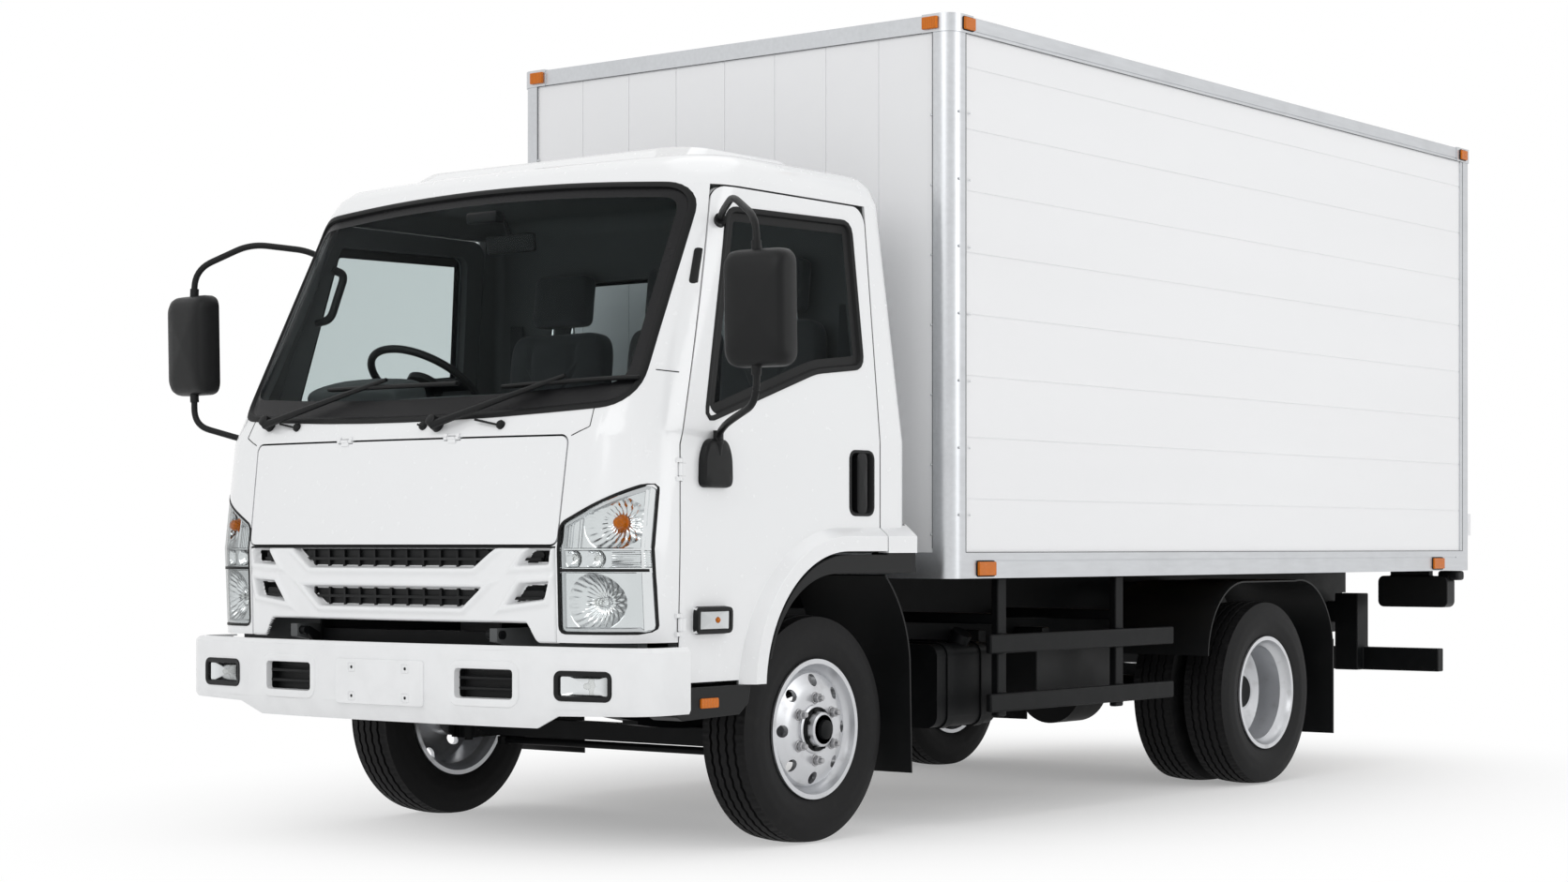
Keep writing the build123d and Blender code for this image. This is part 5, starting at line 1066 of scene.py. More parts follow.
class TRUCK_OT_grille(bpy.types.Operator):
    """Grille moulding with rolled slots"""

    bl_idname = "truck.grille"
    bl_label = "Grille"

    def execute(self, context):
        rows, columns = 380, 110
        flat = field((-GRILLE_HALF, GRILLE_FOOT), (GRILLE_HALF, GRILLE_TOP), rows, columns)
        y, z = flat[..., 0], flat[..., 1]
        slot = np.min([inside(flat, corners, 0.002) for corners in SLOTS], 0)
        points = on_front(flat, self.relief(y, z, slot))
        faces = grid_faces(rows, columns)
        solid = slot.ravel()[faces].max(1) > -0.003
        over_mouth = self.above_mouth(y, z).ravel()[faces].min(1) > 0
        shell = trimmed(points, faces[solid & over_mouth])
        piece("grille_moulding", [shell], "white_plastic", "cab", angle=60, stands_for="grille")
        return {"FINISHED"}

    def above_mouth(self, y, z):
        """Height above the edge of the open mouth under the grille."""
        return z - (GRILLE_FOOT + 0.064 * blend_in(-np.abs(y), -0.640, -0.585))

    def relief(self, y, z, slot):
        """Bars with a raised lip, a bell curve of the distance to the slot, that roll inward at the slots,
        the mouth and the outer edges."""
        lip = 0.009 * np.exp(-((slot - 0.014) / 0.011) ** 2)
        roll = 0.026 * (1 - blend_in(slot, -0.003, 0.006))
        edge = np.minimum(np.minimum(GRILLE_HALF - np.abs(y), GRILLE_TOP - z), self.above_mouth(y, z))
        return 0.001 + lip * blend_in(edge, 0.0, 0.02) - roll - 0.014 * (1 - blend_in(edge, 0.0, 0.007))


LAMP = [(0.724, 0.737), (0.984, 0.737), (0.984, 1.210), (0.724, 1.078)]


class TRUCK_OT_headlamps(bpy.types.Operator):
    """Reflectors, bulbs, flutes, bezels and seals of the headlamps"""

    bl_idname = "truck.headlamps"
    bl_label = "Headlamps"

    # Bulbs: place across, height, depth behind the skin, radius and length.
    clear_bulbs = (
        (0.838, 0.832, 0.055, 0.010, 0.040),
        (0.770, 0.968, 0.018, 0.005, 0.016),
        (0.847, 0.968, 0.018, 0.005, 0.014),
    )
    turn_bulb = (0.905, 1.082, 0.042, 0.019, 0.046)
    # Bowls: place across, height, radius, depth, number of facets and the heights that cut them off.
    bowls = (
        (0.838, 0.832, 0.092, 0.060, 22, 0.735, 0.924),
        (0.890, 1.082, 0.086, 0.050, 20, 1.002, 1.25),
        (0.770, 0.968, 0.031, 0.022, 12, 0.942, 0.994),
        (0.847, 0.968, 0.033, 0.022, 12, 0.942, 0.994),
    )

    def execute(self, context):
        outline = rounded(LAMP, 0.022, 120)
        y, z = outline.T
        steep = (cab_front(y + 1e-3, z) - cab_front(y - 1e-3, z)) / 2e-3
        narrow = 1 / np.hypot(1, np.where(y > 0.96, steep, 0))[:, None]
        lips = narrow * (0.006, 0.005, -0.002, -0.004)
        seal = band(outline, lips, (-0.002, 0.002, 0.002, -0.002), on_front)
        divider = sheet_grid((0.728, 0.928), (0.978, 0.937), 30, 5, 0.0012, on_front)
        piece("headlamp_seals", both_sides([seal, divider]), "rubber_seal", "cab")
        bezel = [band(outline, narrow * (-0.004, -0.013, -0.018), (-0.0065, -0.0070, -0.014), on_front)]
        piece("headlamp_bezels", both_sides(bezel), "lamp_bezel", "cab")
        rows, columns = 130, 200
        flat = field((0.722, 0.735), (0.985, 1.211), rows, columns)
        border = inside(flat, LAMP, 0.004)
        points = on_front(flat, self.relief(flat[..., 0], flat[..., 1], border))
        faces = grid_faces(rows, columns)
        faces = faces[border.ravel()[faces].max(1) < 0.001]
        piece("headlamp_reflectors", both_sides([trimmed(points, faces)]), "lamp_chrome", "cab", angle=50,
              stands_for="headlamp_housings")
        clear = [bulb(*row) for row in self.clear_bulbs]
        piece("headlamp_bulbs", both_sides(clear), "bulb_glass", "cab")
        piece("headlamp_turn_bulbs", both_sides([bulb(*self.turn_bulb)]), "lamp_plastic", "cab")
        return {"FINISHED"}

    def relief(self, y, z, border):
        """Depth of the lamp: bowls of depth 1 - (r/R)^2 rippled into facets by the angle, a field of sine
        flutes, a field of sine lines and ledges between the tiers."""
        ground = -0.013
        flutes = -0.017 + 0.0035 * np.sin(2 * np.pi * y / 0.0105)
        lines = -0.015 + 0.002 * np.sin(2 * np.pi * z / 0.0075)
        lift = np.where((z > 1.002) & (y < 0.802), flutes, ground)
        lift = np.where((z > 0.943) & (z < 0.994) & (y > 0.892), lines, lift)
        for a, b, radius, depth, facets, low, high in self.bowls:
            r = np.hypot(y - a, z - b) / radius
            petals = np.cos(facets * np.arctan2(z - b, y - a))
            ripple = 0.03 * radius * petals * np.sin(np.pi * np.clip(r, 0, 1) * 3)
            bowl = ground - depth * (1 - r ** 2) + ripple
            lift = np.where((r < 1) & (z > low) & (z < high) & (y < 0.962), bowl, lift)
        ledge = (np.abs(z - 0.998) < 0.004) | (np.abs(z - 0.933) < 0.009) | (np.abs(y - 0.964) < 0.0025)
        lift = np.where(ledge, -0.008, lift)
        return np.maximum(lift, -0.007 + 2.5 * border)


LAMP_AIM = (0.97, 0.24, 0.0)


def lamp_place(y, z, back):
    """A place on the cab's front, moved back along a lamp's aim."""
    return np.array(at(cab_front(y, z), y, z)) - back * unit(LAMP_AIM)


def bulb(y, z, depth, radius, length):
    """A bulb: a finger with a round end on a wider base."""
    t = np.linspace(0, np.pi / 2, 8)
    dome = np.stack([length - radius + radius * np.sin(t), radius * np.cos(t)], 1)
    profile = np.vstack([[(0, radius * 1.3), (length * 0.2, radius * 1.3), (length * 0.22, radius)], dome])
    return lathe(profile, lamp_place(y, z, 0.014 + depth), LAMP_AIM, 24)


class TRUCK_OT_bumper_fittings(bpy.types.Operator):
    """Blank plate panel, vent frames and fog lamps"""

    bl_idname = "truck.bumper_fittings"
    bl_label = "Bumper fittings"

    def execute(self, context):
        panel = rectangle((-0.206, 0.489), (0.206, 0.638), 0.012, 120)
        rings = (1.0, 0.996, 0.985, 0.97, 0.5, 0.0)
        raised = patch(panel, rings, (-0.004, 0.003, 0.005, 0.005, 0.005, 0.005), on_bumper)
        pockets = []
        screw_hole_shade = []
        for y in (-0.125, 0.125):
            for z in (0.515, 0.610):
                square = rectangle((y - 0.015, z - 0.014), (y + 0.015, z + 0.014), 0.004, 40)
                pockets.append(band(square, (0.002, 0.0, -0.002), (0.005, 0.0075, 0.005), on_bumper))
                # Black discs in the screw holes: painted shade of the holes.
                hole = rectangle((y - 0.005, z - 0.005), (y + 0.005, z + 0.005), 0.005, 24)
                screw_hole_shade.append(patch(hole, (1.0, 0.0), (0.0056, 0.0056), on_bumper))
        vent = rectangle((0.336, 0.522), (0.575, 0.620), 0.016, 100)
        offsets = (0.026, 0.022, 0.008, -0.001, -0.004)
        frame_rim = band(vent, offsets, (-0.001, 0.004, 0.005, 0.002, -0.020), on_bumper)
        piece("bumper_mouldings", [raised] + pockets + both_sides([frame_rim]), "white_plastic", "chassis")
        piece("plate_screw_holes", screw_hole_shade, "black_plastic", "chassis")
        duct = patch(vent, (1.0, 0.96, 0.0), (-0.018, -0.045, -0.048), on_bumper)
        bars = []
        for z in (0.554, 0.588):
            places = np.stack([np.linspace(0.338, 0.573, 12), np.full(12, z)], 1)
            bars.append(tube(on_bumper(places, -0.024), 0.006, 8))
        piece("bumper_vents", both_sides([duct] + bars), "black_plastic", "chassis")
        fog = rectangle((0.742, 0.533), (0.938, 0.611), 0.018, 100)
        offsets = (0.010, 0.007, -0.002, -0.007, -0.010)
        fog_rim = band(fog, offsets, (-0.002, 0.004, 0.004, 0.001, -0.008), on_bumper)
        piece("fog_lamp_bezels", both_sides([fog_rim]), "black_plastic", "chassis")
        bowl = patch(fog, (0.96, 0.80, 0.5, 0.25, 0.0), (-0.006, -0.016, -0.023, -0.027, -0.028), on_bumper)
        piece("fog_lamp_reflectors", both_sides([bowl]), "lamp_chrome", "chassis")
        profile = [(0, 0.010), (0.016, 0.010), (0.021, 0.006), (0.022, 0.0)]
        glow = lathe(profile, at(1.045, 0.84, 0.572), LAMP_AIM, 20)
        piece("fog_lamp_bulbs", both_sides([glow]), "bulb_glass", "chassis")
        return {"FINISHED"}


class TRUCK_OT_door_fittings(bpy.types.Operator):
    """Handle surrounds, turn lamps, locks and pillar vents"""

    bl_idname = "truck.door_fittings"
    bl_label = "Door fittings"

    def execute(self, context):
        pocket = rectangle((-0.240, 1.117), (-0.109, 1.331), 0.03, 80)
        offsets = (0.007, 0.005, -0.003, -0.010, -0.014)
        liner = band(pocket, offsets, (-0.001, 0.003, 0.003, -0.008, -0.020), on_side)
        bar = rectangle((-0.203, 1.120), (-0.147, 1.328), 0.02, 60)
        pull = patch(bar, (1.0, 1.0, 0.9, 0.7, 0.0), (-0.022, 0.0015, 0.005, 0.007, 0.008), on_side)
        floor_of_pocket = patch(pocket, (0.93, 0.5, 0.0), (-0.020, -0.0225, -0.0225), on_side)
        profile = [(0, 0.013), (0.002, 0.012), (0.003, 0.009), (0.0015, 0.008), (0.0015, 0)]
        lock = lathe(profile, at(-0.175, 0.9805, 1.165), (0, 1, 0), 32)
        lamp = rectangle((0.560, 0.737), (0.720, 0.807), 0.012, 80)
        rim = band(lamp, (0.010, 0.007, -0.004, -0.008), (0.006, 0.0265, 0.0265, 0.019), on_side)
        lens = patch(lamp, (0.95, 0.92, 0.5, 0.0), (0.020, 0.0245, 0.0265, 0.027), on_side)
        profile = [(0, 0.010), (0.014, 0.010), (0.019, 0.006), (0.020, 0.0)]
        glow = lathe(profile, at(0.62, 1.0005, 0.772), (0, 1, 0.05), 20)
        bowl = patch(lamp, (0.95, 0.7, 0.0), (0.0215, 0.0190, 0.0185), on_side)
        rows = (
            ("door_handle_", [liner, floor_of_pocket, pull], "black_plastic"),
            ("door_lock_", [lock], "zinc_steel"),
            ("door_lamp_bezel_", [rim], "black_plastic"),
            ("door_lamp_bowl_", [bowl], "lamp_chrome"),
            ("door_lamp_bulb_", [glow], "lamp_plastic"),
            ("door_lamp_lens_", [lens], "lamp_glass"),
        )
        for word, turn in SIDES:
            for name, parts, finish in rows:
                piece(name + word, turn(parts), finish, "door_" + word)
        slot = rounded([(0.929, 1.850), (0.943, 1.850), (0.928, 1.972), (0.914, 1.972)], 0.006, 60)
        vents = [patch(slot, (1.0, 0.9, 0.0), (-0.001, 0.003, 0.0015), on_front)]
        piece("pillar_vents", both_sides(vents), "black_plastic", "cab")
        return {"FINISHED"}


class TRUCK_OT_mirrors(bpy.types.Operator):
    """Door mirrors on bent tubes"""

    bl_idname = "truck.mirrors"
    bl_label = "Mirrors"

    # Corners of the lower and the upper arm with the cuts that round them, the foot on the door, and the
    # ends and radii of the collars.
    arms = (
        (((0.800, 1.315, 1.62), (0.800, 1.312, 1.450), (0.720, 1.13, 1.395), (0.632, 1.030, 1.372),
          (0.627, 1.020, 1.300)), (0, 0.06, 0.05, 0.03, 0)),
        (((0.800, 1.315, 1.86), (0.800, 1.312, 2.020), (0.690, 1.13, 2.112), (0.560, 0.985, 2.090),
          (0.512, 0.930, 2.060)), (0, 0.07, 0.06, 0.03, 0)),
    )
    foot = ((0.552, 1.195), (0.704, 1.195), (0.700, 1.300), (0.672, 1.352), (0.580, 1.352), (0.556, 1.300))
    collars = (
        ((0.627, 1.020, 1.335), (0.629, 1.022, 1.378), 0.017),
        ((0.800, 1.312, 1.535), (0.800, 1.314, 1.575), 0.016),
        ((0.800, 1.314, 1.912), (0.800, 1.312, 1.950), 0.016),
        ((0.530, 0.950, 2.070), (0.506, 0.922, 2.056), 0.020),
    )

    def execute(self, context):
        back = facing(at(0.800, 1.322, 1.742), (-0.10, 0.995, 0), (0.02, 0, 1.0))
        outline = rectangle((-0.116, -0.182), (0.116, 0.182), 0.048, 120)
        scales = (0.0, 0.45, 0.72, 0.86, 0.94, 0.985, 1.0, 1.0, 0.985, 0.955, 0.95)
        lifts = (0.052, 0.050, 0.046, 0.039, 0.028, 0.013, -0.004, -0.030, -0.038, -0.040, -0.034)
        head = patch(outline, scales, lifts, back)
        glass = patch(outline, (0.95, 0.5, 0.0), (-0.0385, -0.0370, -0.0365), back)
        arms = []
        for places, cuts in self.arms:
            path = rounded([at(*place) for place in places], cuts, 48, closed=False)
            arms.append(tube(path, 0.0115, 16))
        mount = patch(rounded(self.foot, 0.028, 80), (1.0, 1.0, 0.97, 0.88, 0.6, 0.0),
                      (-0.002, 0.012, 0.022, 0.028, 0.030, 0.030), on_side)
        collars = [tube([at(*start), at(*end)], radius, 16) for start, end, radius in self.collars]
        shell = [head] + arms + [mount] + collars
        for word, turn in SIDES:
            body = "door_" + word
            piece("mirror_shell_" + word, turn(shell), "satin_black", body, stands_for="mirror_" + word)
            piece("mirror_glass_" + word, turn([glass]), "mirror_glass", body)
        return {"FINISHED"}


class TRUCK_OT_wipers(bpy.types.Operator):
    """Wiper arms, blades and washer nozzles"""

    bl_idname = "truck.wipers"
    bl_label = "Wipers"

    # Pivot and tip of each arm and the ends of its blade, then base and tip of each nozzle.
    sets = (
        ((-0.687, 1.426), (-0.131, 1.566), (-0.419, 1.542), (0.200, 1.542)),
        ((0.171, 1.402), (0.654, 1.552), (0.405, 1.524), (0.903, 1.541)),
    )
    nozzles = (
        ((-0.531, 1.414), (-0.616, 1.429)),
        ((0.443, 1.397), (0.340, 1.417)),
        ((0.105, 1.402), (0.092, 1.408)),
    )
    # Direction of the spindles, and the profiles of a spindle's cap and of a nozzle's base.
    spindle = (0.9, 0, 0.43)
    cap = ((0, 0.024), (0.030, 0.021), (0.044, 0.019), (0.048, 0.012), (0.048, 0))
    nozzle_base = ((-0.004, 0.016), (0.008, 0.015), (0.013, 0.010), (0.014, 0))

    def execute(self, context):
        parts = []
        t = np.linspace(0, 1, 24)[:, None]
        along = t[:, 0]
        for pivot, tip, start, end in self.sets:
            arm = on_front((1 - t) * np.array(pivot) + t * np.array(tip), 0.034 - 0.012 * along)
            wiped = (1 - t) * np.array(start) + t * np.array(end)
            blade = on_front(wiped, 0.006)
            spine = on_front(wiped, 0.015 + 0.004 * np.sin(np.pi * along))
            parts += [tube(arm, 0.014 - 0.007 * along, 10), tube(blade, 0.008, 8), tube(spine, 0.007, 8)]
            foot = on_front(np.array([pivot]), 0.0)[0]
            parts.append(lathe(self.cap, foot, self.spindle, 28))
        for base, tip in self.nozzles:
            ends = on_front(np.array([base, tip]), np.array([0.012, 0.018]))
            parts.append(tube(ends, 0.004, 8))
            parts.append(lathe(self.nozzle_base, ends[0] - (0.012, 0, 0), self.spindle, 20))
        piece("wiper_set", parts, "satin_black", "cab", stands_for="wipers")
        return {"FINISHED"}


class TRUCK_OT_tyres(bpy.types.Operator):
    """Road tyres with grooved treads"""

    bl_idname = "truck.tyres"
    bl_label = "Tyres"

    def execute(self, context):
        sizes = context.scene.truck_sizes
        rows = (
            ("tyre_front_left", "wheel_front_left", FRONT_AXLE, FRONT_TYRES, 1),
            ("tyre_front_right", "wheel_front_right", FRONT_AXLE, FRONT_TYRES, -1),
            ("tyres_rear_left", "wheels_rear_left", REAR_AXLE, REAR_TYRES, 1),
            ("tyres_rear_right", "wheels_rear_right", REAR_AXLE, REAR_TYRES, -1),
        )
        for node, body, axle, centres, side in rows:
            parts = [tyre_surface(axle, side * y, sizes) for y in centres]
            piece(node + "_tread", parts, "tyre_rubber", body, angle=30.0, stands_for=node)
        return {"FINISHED"}


def tyre_surface(axle, centre, sizes):
    """A tyre: a section of bead, bulged sidewall, shoulder and slightly crowned tread, turned about the
    axle. Four grooves that weave a little are pressed into the crown, and cross cuts into the shoulders."""
    around = 300
    radius = 0.388
    bead_radius = 0.228
    half_width = 0.1025
    tread_half = 0.083
    groove_places = np.array([-0.050, -0.017, 0.017, 0.050])
    g = sizes.groove_width / 2
    groove_edges = groove_places[:, None] + np.array([-g - 0.001, -g, g, g + 0.001])
    crown = np.sort(np.concatenate([groove_edges.ravel(), np.linspace(-tread_half, tread_half, 13)]))
    side = np.linspace(0, 1, 16)
    shoulder_radius = radius - 0.007
    wall_radius = bead_radius + (shoulder_radius - bead_radius) * side
    bulge = np.sin(np.pi * side) ** 0.8
    wall_y = 0.080 + (tread_half + 0.004 - 0.080) * side + (half_width - tread_half) * bulge
    rings = 0.0012 * (np.sin(side * 70) > 0.6)
    y = np.concatenate([-(wall_y + rings), crown, (wall_y + rings)[::-1]])
    r = np.concatenate([wall_radius, radius - 0.006 * (crown / tread_half) ** 2, wall_radius[::-1]])
    on_crown = np.concatenate([np.zeros(len(side)), np.ones(len(crown)), np.zeros(len(side))])
    angle = np.linspace(0, 2 * np.pi, around, endpoint=False)
    pitch = angle * sizes.tread_pitches
    weave = 0.0022 * np.sin(pitch)[:, None] * on_crown[None, :] * (np.abs(y)[None, :] < 0.062)
    across = y[None, :] + weave
    in_groove = (np.abs(y[None, :] - groove_places[:, None]).min(0) < g + 1e-6) & (on_crown > 0)
    depth = sizes.groove_depth * in_groove[None, :] * np.ones((around, 1))
    cuts = (np.sin(pitch * 2)[:, None] > 0.55) & (np.abs(y)[None, :] > 0.066) & (on_crown[None, :] > 0)
    rr = r[None, :] - depth - 0.004 * cuts
    ahead = axle + rr * np.cos(angle)[:, None]
    height = HUB_HEIGHT + rr * np.sin(angle)[:, None]
    points = np.stack([ahead, centre + across, height], -1)
    return points.reshape(-1, 3), grid_faces(around, len(y), close_rows=True, close_columns=True)


class TRUCK_OT_cowl_gap_shade(bpy.types.Operator):
    """Dark strips in the joints between the panels of the cab's front, round its lid and round its doors:
    painted shade of the gaps
    """

    bl_idname = "truck.cowl_joints"
    bl_label = "Cowl joints"

    lines = (
        ((0.791, 1.450), (0.799, 1.384), (0.736, 1.357)),
        ((0.930, 1.566), (0.970, 1.560)),
    )

    def execute(self, context):
        joints = []
        for line in self.lines:
            # Thin dark tubes sunk in the panel joints: painted shade of the gaps.
            joints.append(tube(on_front(evenly(np.array(line), 24, False), -0.0006), 0.0020, 6))
        lid = rectangle((-0.731, 1.005), (0.731, 1.365), 0.02, 240)
        # A dark band in the lid's gap: painted shade of the gap.
        piece("lid_gap", [band(lid, (-0.0032, 0.0032), (-0.005, -0.005), on_front)], "rubber_seal", "cab")
        # A dark tube in the door gap: painted shade of the gap.
        edge = rounded([(0.792, 0.62), (0.792, 1.33), (0.518, 2.185), (-0.282, 2.185), (-0.282, 1.03)],
                       (0, 0.05, 0.07, 0.07, 0), 160, closed=False)
        places = np.stack([FRONT_AXLE + edge[:, 0], cab_side(edge[:, 0], edge[:, 1]) - 0.0035, edge[:, 1]], 1)
        joints.append(tube(places, 0.0024, 6))
        piece("cowl_joints", both_sides(joints), "rubber_seal", "cab")
        return {"FINISHED"}


class TRUCK_OT_box_fittings(bpy.types.Operator):
    """Rivets, joints, lamp gaskets and corner rubbers of the load box"""

    bl_idname = "truck.box_fittings"
    bl_label = "Box fittings"

    head = ((0.0, 0.0048), (0.0010, 0.0046), (0.0020, 0.0032), (0.0024, 0.0))

    def execute(self, context):
        left = facing(at(0, BOX_SIDE, 0), (-1, 0, 0), (0, 0, 1))
        rivets = [lathe(self.head, at(x, 1.0465, z), (0, 1, 0), 14)
                  for x in (-0.700, -0.765) for z in np.arange(1.12, 2.80, 0.24)]
        rivets += [lathe(self.head, at(-0.6555, 0.955, z), (1, 0, 0), 14)
                   for z in np.arange(1.05, 2.80, 0.25)]
        piece("box_rivets", both_sides(rivets), "box_aluminium", "chassis", angle=60)
        gaskets = []
        for x in (0.812, 4.635):
            lamp = rectangle((x, 0.902), (x + 0.112, 0.952), 0.008, 60)
            gaskets.append(band(lamp, (0.005, 0.004, -0.001), (0.0, 0.0035, 0.0035), left))
        for x in (0.718, 4.930):
            lamp = rectangle((x, 2.856), (x + 0.066, 2.900), 0.008, 60)
            gaskets.append(band(lamp, (0.004, 0.003, -0.001), (0.003, 0.0075, 0.0075), left))
        front, rear, foot, top = 0.742, 4.969, 0.986, 2.845
        post = 0.960
        half = 0.0015
        joints = [slab(at(-rear, 1.044, z - half), at(-front, 1.0468, z + half)) for z in (foot, top)]
        joints += [slab(at(-x - half, 1.044, foot), at(-x + half, 1.0468, top)) for x in (front, rear)]
        joints += [slab(at(-0.658, post - half, 1.0), at(-0.6552, post + half, top)),
                   slab(at(-0.658, 0.0, top - half), at(-0.6552, post, top + half))]
        piece("box_joints", both_sides(joints), "joint_grey", "chassis")
        piece("lamp_gaskets", both_sides(gaskets), "rubber_seal", "chassis")
        buffers = [slab(at(-5.020, 0.930, 0.845), at(-4.940, 1.035, 0.890))]
        piece("rear_corner_rubbers", both_sides(buffers), "rubber_seal", "chassis", bevel=0.012)
        return {"FINISHED"}


class TRUCK_OT_tail_lamps(bpy.types.Operator):
    """Lenses of the tail lamps and the step reflectors"""

    bl_idname = "truck.tail_lamps"
    bl_label = "Tail lamps"

    def execute(self, context):
        back = facing(at(-4.985, 0, 0), (0, -1, 0), (0, 0, 1))
        scales, lifts = (1.0, 0.99, 0.94, 0.5, 0.0), (-0.002, 0.006, 0.010, 0.011, 0.011)
        rows = (("amber", -0.980, -0.880, "lamp_plastic"), ("red", -0.876, -0.776, "red_lens"),
                ("clear", -0.772, -0.672, "white_lens"))
        for word, low, high, finish in rows:
            lens = patch(rectangle((low, 0.735), (high, 0.845), 0.012, 60), scales, lifts, back)
            piece("tail_lens_" + word, both_sides([lens]), finish, "chassis")
        plate = facing(at(0, 1.005, 0), (-1, 0, 0), (0, 0, 1))
        reflector_lens = patch(rectangle((-0.700, 0.492), (-0.610, 0.524), 0.005, 40), scales,
                               (-0.001, 0.004, 0.006, 0.006, 0.006), plate)
        # The step reflectors take the amber lens finish with its faint glow: painted light on a part that is
        # no lamp.
        piece("step_reflectors", both_sides([reflector_lens]), "lamp_plastic", "cab")
        return {"FINISHED"}


class TRUCK_OT_seats(bpy.types.Operator):
    """Padded seats"""

    bl_idname = "truck.seats"
    bl_label = "Seats"

    # Middle and half width of each seat.
    places = ((-0.505, 0.240), (0.060, 0.210), (0.520, 0.220))

    def execute(self, context):
        pads = []
        posts = []
        seams = (-0.45, 0.45)
        for y, half in self.places:
            wide = (0, half, 0)
            squab = cushion(at(0.020, y, 1.105), wide, (0.25, 0, 0.006), (0, 0, 0.088), seams)
            back = cushion(at(-0.280, y, 1.500), wide, (-0.033, 0, 0.318), (0.064, 0, 0.006), seams)
            rest = cushion(at(-0.316, y, 1.935), (0, 0.138, 0), (-0.012, 0, 0.100), (0.044, 0, 0.004), ())
            pads += [squab, back, rest]
            for post in (y - 0.05, y + 0.05):
                posts.append(tube([at(-0.300, post, 1.76), at(-0.314, post, 1.86)], 0.0065, 12))
        covers = piece("seat_covers", pads, "seat_cloth", "cab", angle=60, stands_for="seats")
        piece("headrest_posts", posts, "lamp_chrome", "cab")
        return {"FINISHED"}


def cushion(middle, across, along, thick, channels):
    """A crowned closed pad: a box with rounded edges (powers of sines and cosines of two angles) whose sides
    pull in between the corners, whose face swells in the middle and dips along its sewn channels."""
    rows, columns = 36, 96
    up = np.linspace(-np.pi / 2, np.pi / 2, rows)[:, None]
    turn = np.linspace(0, 2 * np.pi, columns, endpoint=False)[None, :]
    p = soft_power(np.cos(up), 0.28) * soft_power(np.cos(turn), 0.28)
    q = soft_power(np.cos(up), 0.28) * soft_power(np.sin(turn), 0.28)
    r = soft_power(np.sin(up), 0.45) + 0 * turn
    p, q = p * (1 - 0.04 * (1 - q ** 2)), q * (1 - 0.03 * (1 - p ** 2))
    r = r * (0.86 + 0.22 * (1 - p ** 2) * (1 - q ** 2))
    for channel in channels:
        r = r - 0.16 * np.exp(-((p - channel) / 0.035) ** 2) * np.clip(r, 0, 1)
    points = np.asarray(middle) + p[..., None] * across + q[..., None] * along + r[..., None] * thick
    return points, grid_faces(rows, columns, close_columns=True)


def soft_power(value, power):
    """A signed power."""
    return np.sign(value) * np.abs(value) ** power


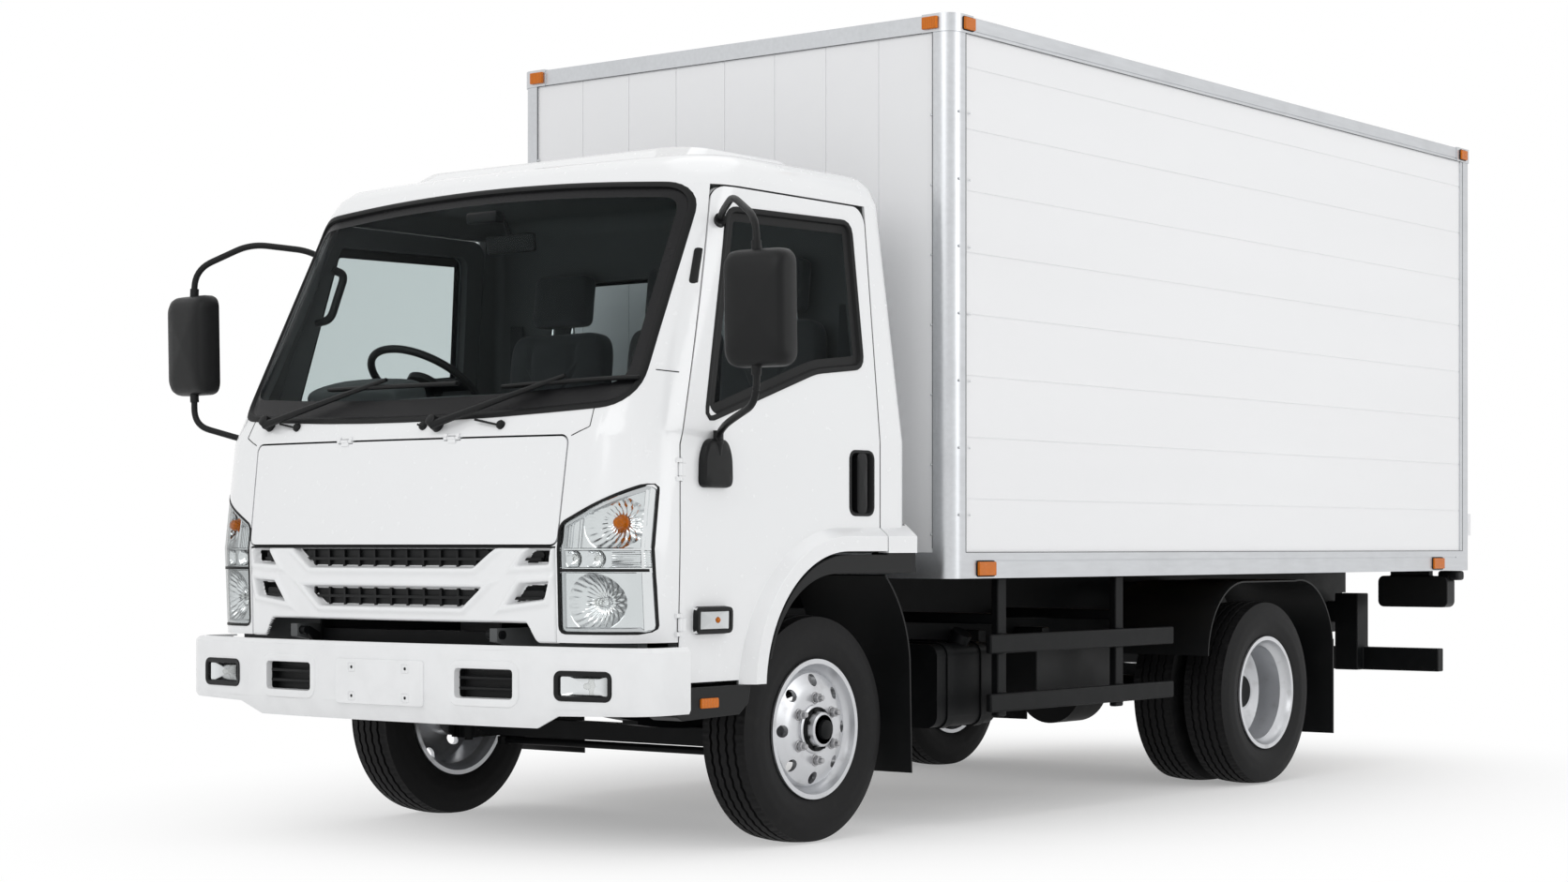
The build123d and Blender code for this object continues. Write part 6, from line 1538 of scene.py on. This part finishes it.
class TRUCK_OT_cab_inside(bpy.types.Operator):
    """Instrument hood, grab handles, inside mirror and belts"""

    bl_idname = "truck.cab_inside"
    bl_label = "Cab inside"

    def execute(self, context):
        hood = cushion(at(0.705, -0.505, 1.510), (0, 0.23, 0), (0.090, 0, -0.020), (0.02, 0, 0.075), ())
        top_pad = cushion(at(0.740, 0.0, 1.460), (0, 0.76, 0), (0.105, 0, -0.012), (0, 0, 0.055), ())
        sensor = [slab(at(0.610, -0.07, 2.110), at(0.660, 0.07, 2.150))]
        piece("dash_mouldings", [hood, top_pad], "cab_lining", "cab", angle=60)
        piece("screen_sensor_box", sensor, "black_plastic", "cab", bevel=0.008)
        glass = cushion(at(0.560, 0.05, 2.045), (0, 0.115, 0), (0.004, 0, 0.034), (0.014, 0, -0.002), ())
        stalk = tube([at(0.565, 0.05, 2.07), at(0.600, 0.05, 2.13)], 0.008, 12)
        piece("inside_mirror", [glass, stalk], "black_plastic", "cab", angle=60)
        corners = [at(0.610, 0.865, 1.815), at(0.600, 0.805, 1.825), at(0.545, 0.790, 1.990),
                   at(0.540, 0.850, 2.010)]
        grip = rounded(corners, (0, 0.03, 0.03, 0), 40, closed=False)
        piece("grab_handles", both_sides([tube(grip, 0.015, 12)]), "black_plastic", "cab")
        belts = []
        for y, d in ((0.520, 0.275), (-0.505, -0.290)):
            ends = np.array([at(-0.36, y + d, 1.86), at(-0.345, y + d * 0.98, 1.30)])
            belts.append(tube(evenly(ends, 12, False), 0.024, 10, 0.06))
        piece("seat_belts", belts, "seat_cloth", "cab")
        return {"FINISHED"}


class TRUCK_PT_panel(bpy.types.Panel):
    """Lists the pieces of the truck"""

    bl_label = "Box truck"
    bl_idname = "TRUCK_PT_panel"
    bl_space_type = "VIEW_3D"
    bl_region_type = "UI"
    bl_category = "Truck"

    def draw(self, context):
        for operator in OPERATORS:
            self.layout.operator(operator.bl_idname)
        for group in (context.scene.truck_sizes, context.scene.truck_colours):
            for name in group.__annotations__:
                self.layout.prop(group, name)


OPERATORS = (
    TRUCK_OT_stage,
    TRUCK_OT_frame_finishes,
    TRUCK_OT_tyres,
    TRUCK_OT_wheel_fittings,
    TRUCK_OT_glass_seals,
    TRUCK_OT_cowl_gap_shade,
    TRUCK_OT_grille,
    TRUCK_OT_headlamps,
    TRUCK_OT_bumper_fittings,
    TRUCK_OT_door_fittings,
    TRUCK_OT_mirrors,
    TRUCK_OT_wipers,
    TRUCK_OT_box_fittings,
    TRUCK_OT_tail_lamps,
    TRUCK_OT_seats,
    TRUCK_OT_cab_inside,
)
CLASSES = (TruckColours, TruckSizes, *OPERATORS, TRUCK_PT_panel)


def register():
    for cls in CLASSES:
        bpy.utils.register_class(cls)
    bpy.types.Scene.truck_colours = PointerProperty(type=TruckColours)
    bpy.types.Scene.truck_sizes = PointerProperty(type=TruckSizes)


def unregister():
    del bpy.types.Scene.truck_sizes
    del bpy.types.Scene.truck_colours
    for cls in reversed(CLASSES):
        bpy.utils.unregister_class(cls)


def main():
    register()
    FINISH.update(make_finishes(bpy.context.scene.truck_colours))
    for operator in OPERATORS:
        group, name = operator.bl_idname.split(".")
        getattr(getattr(bpy.ops, group), name)()


if __name__ == "__main__":
    main()
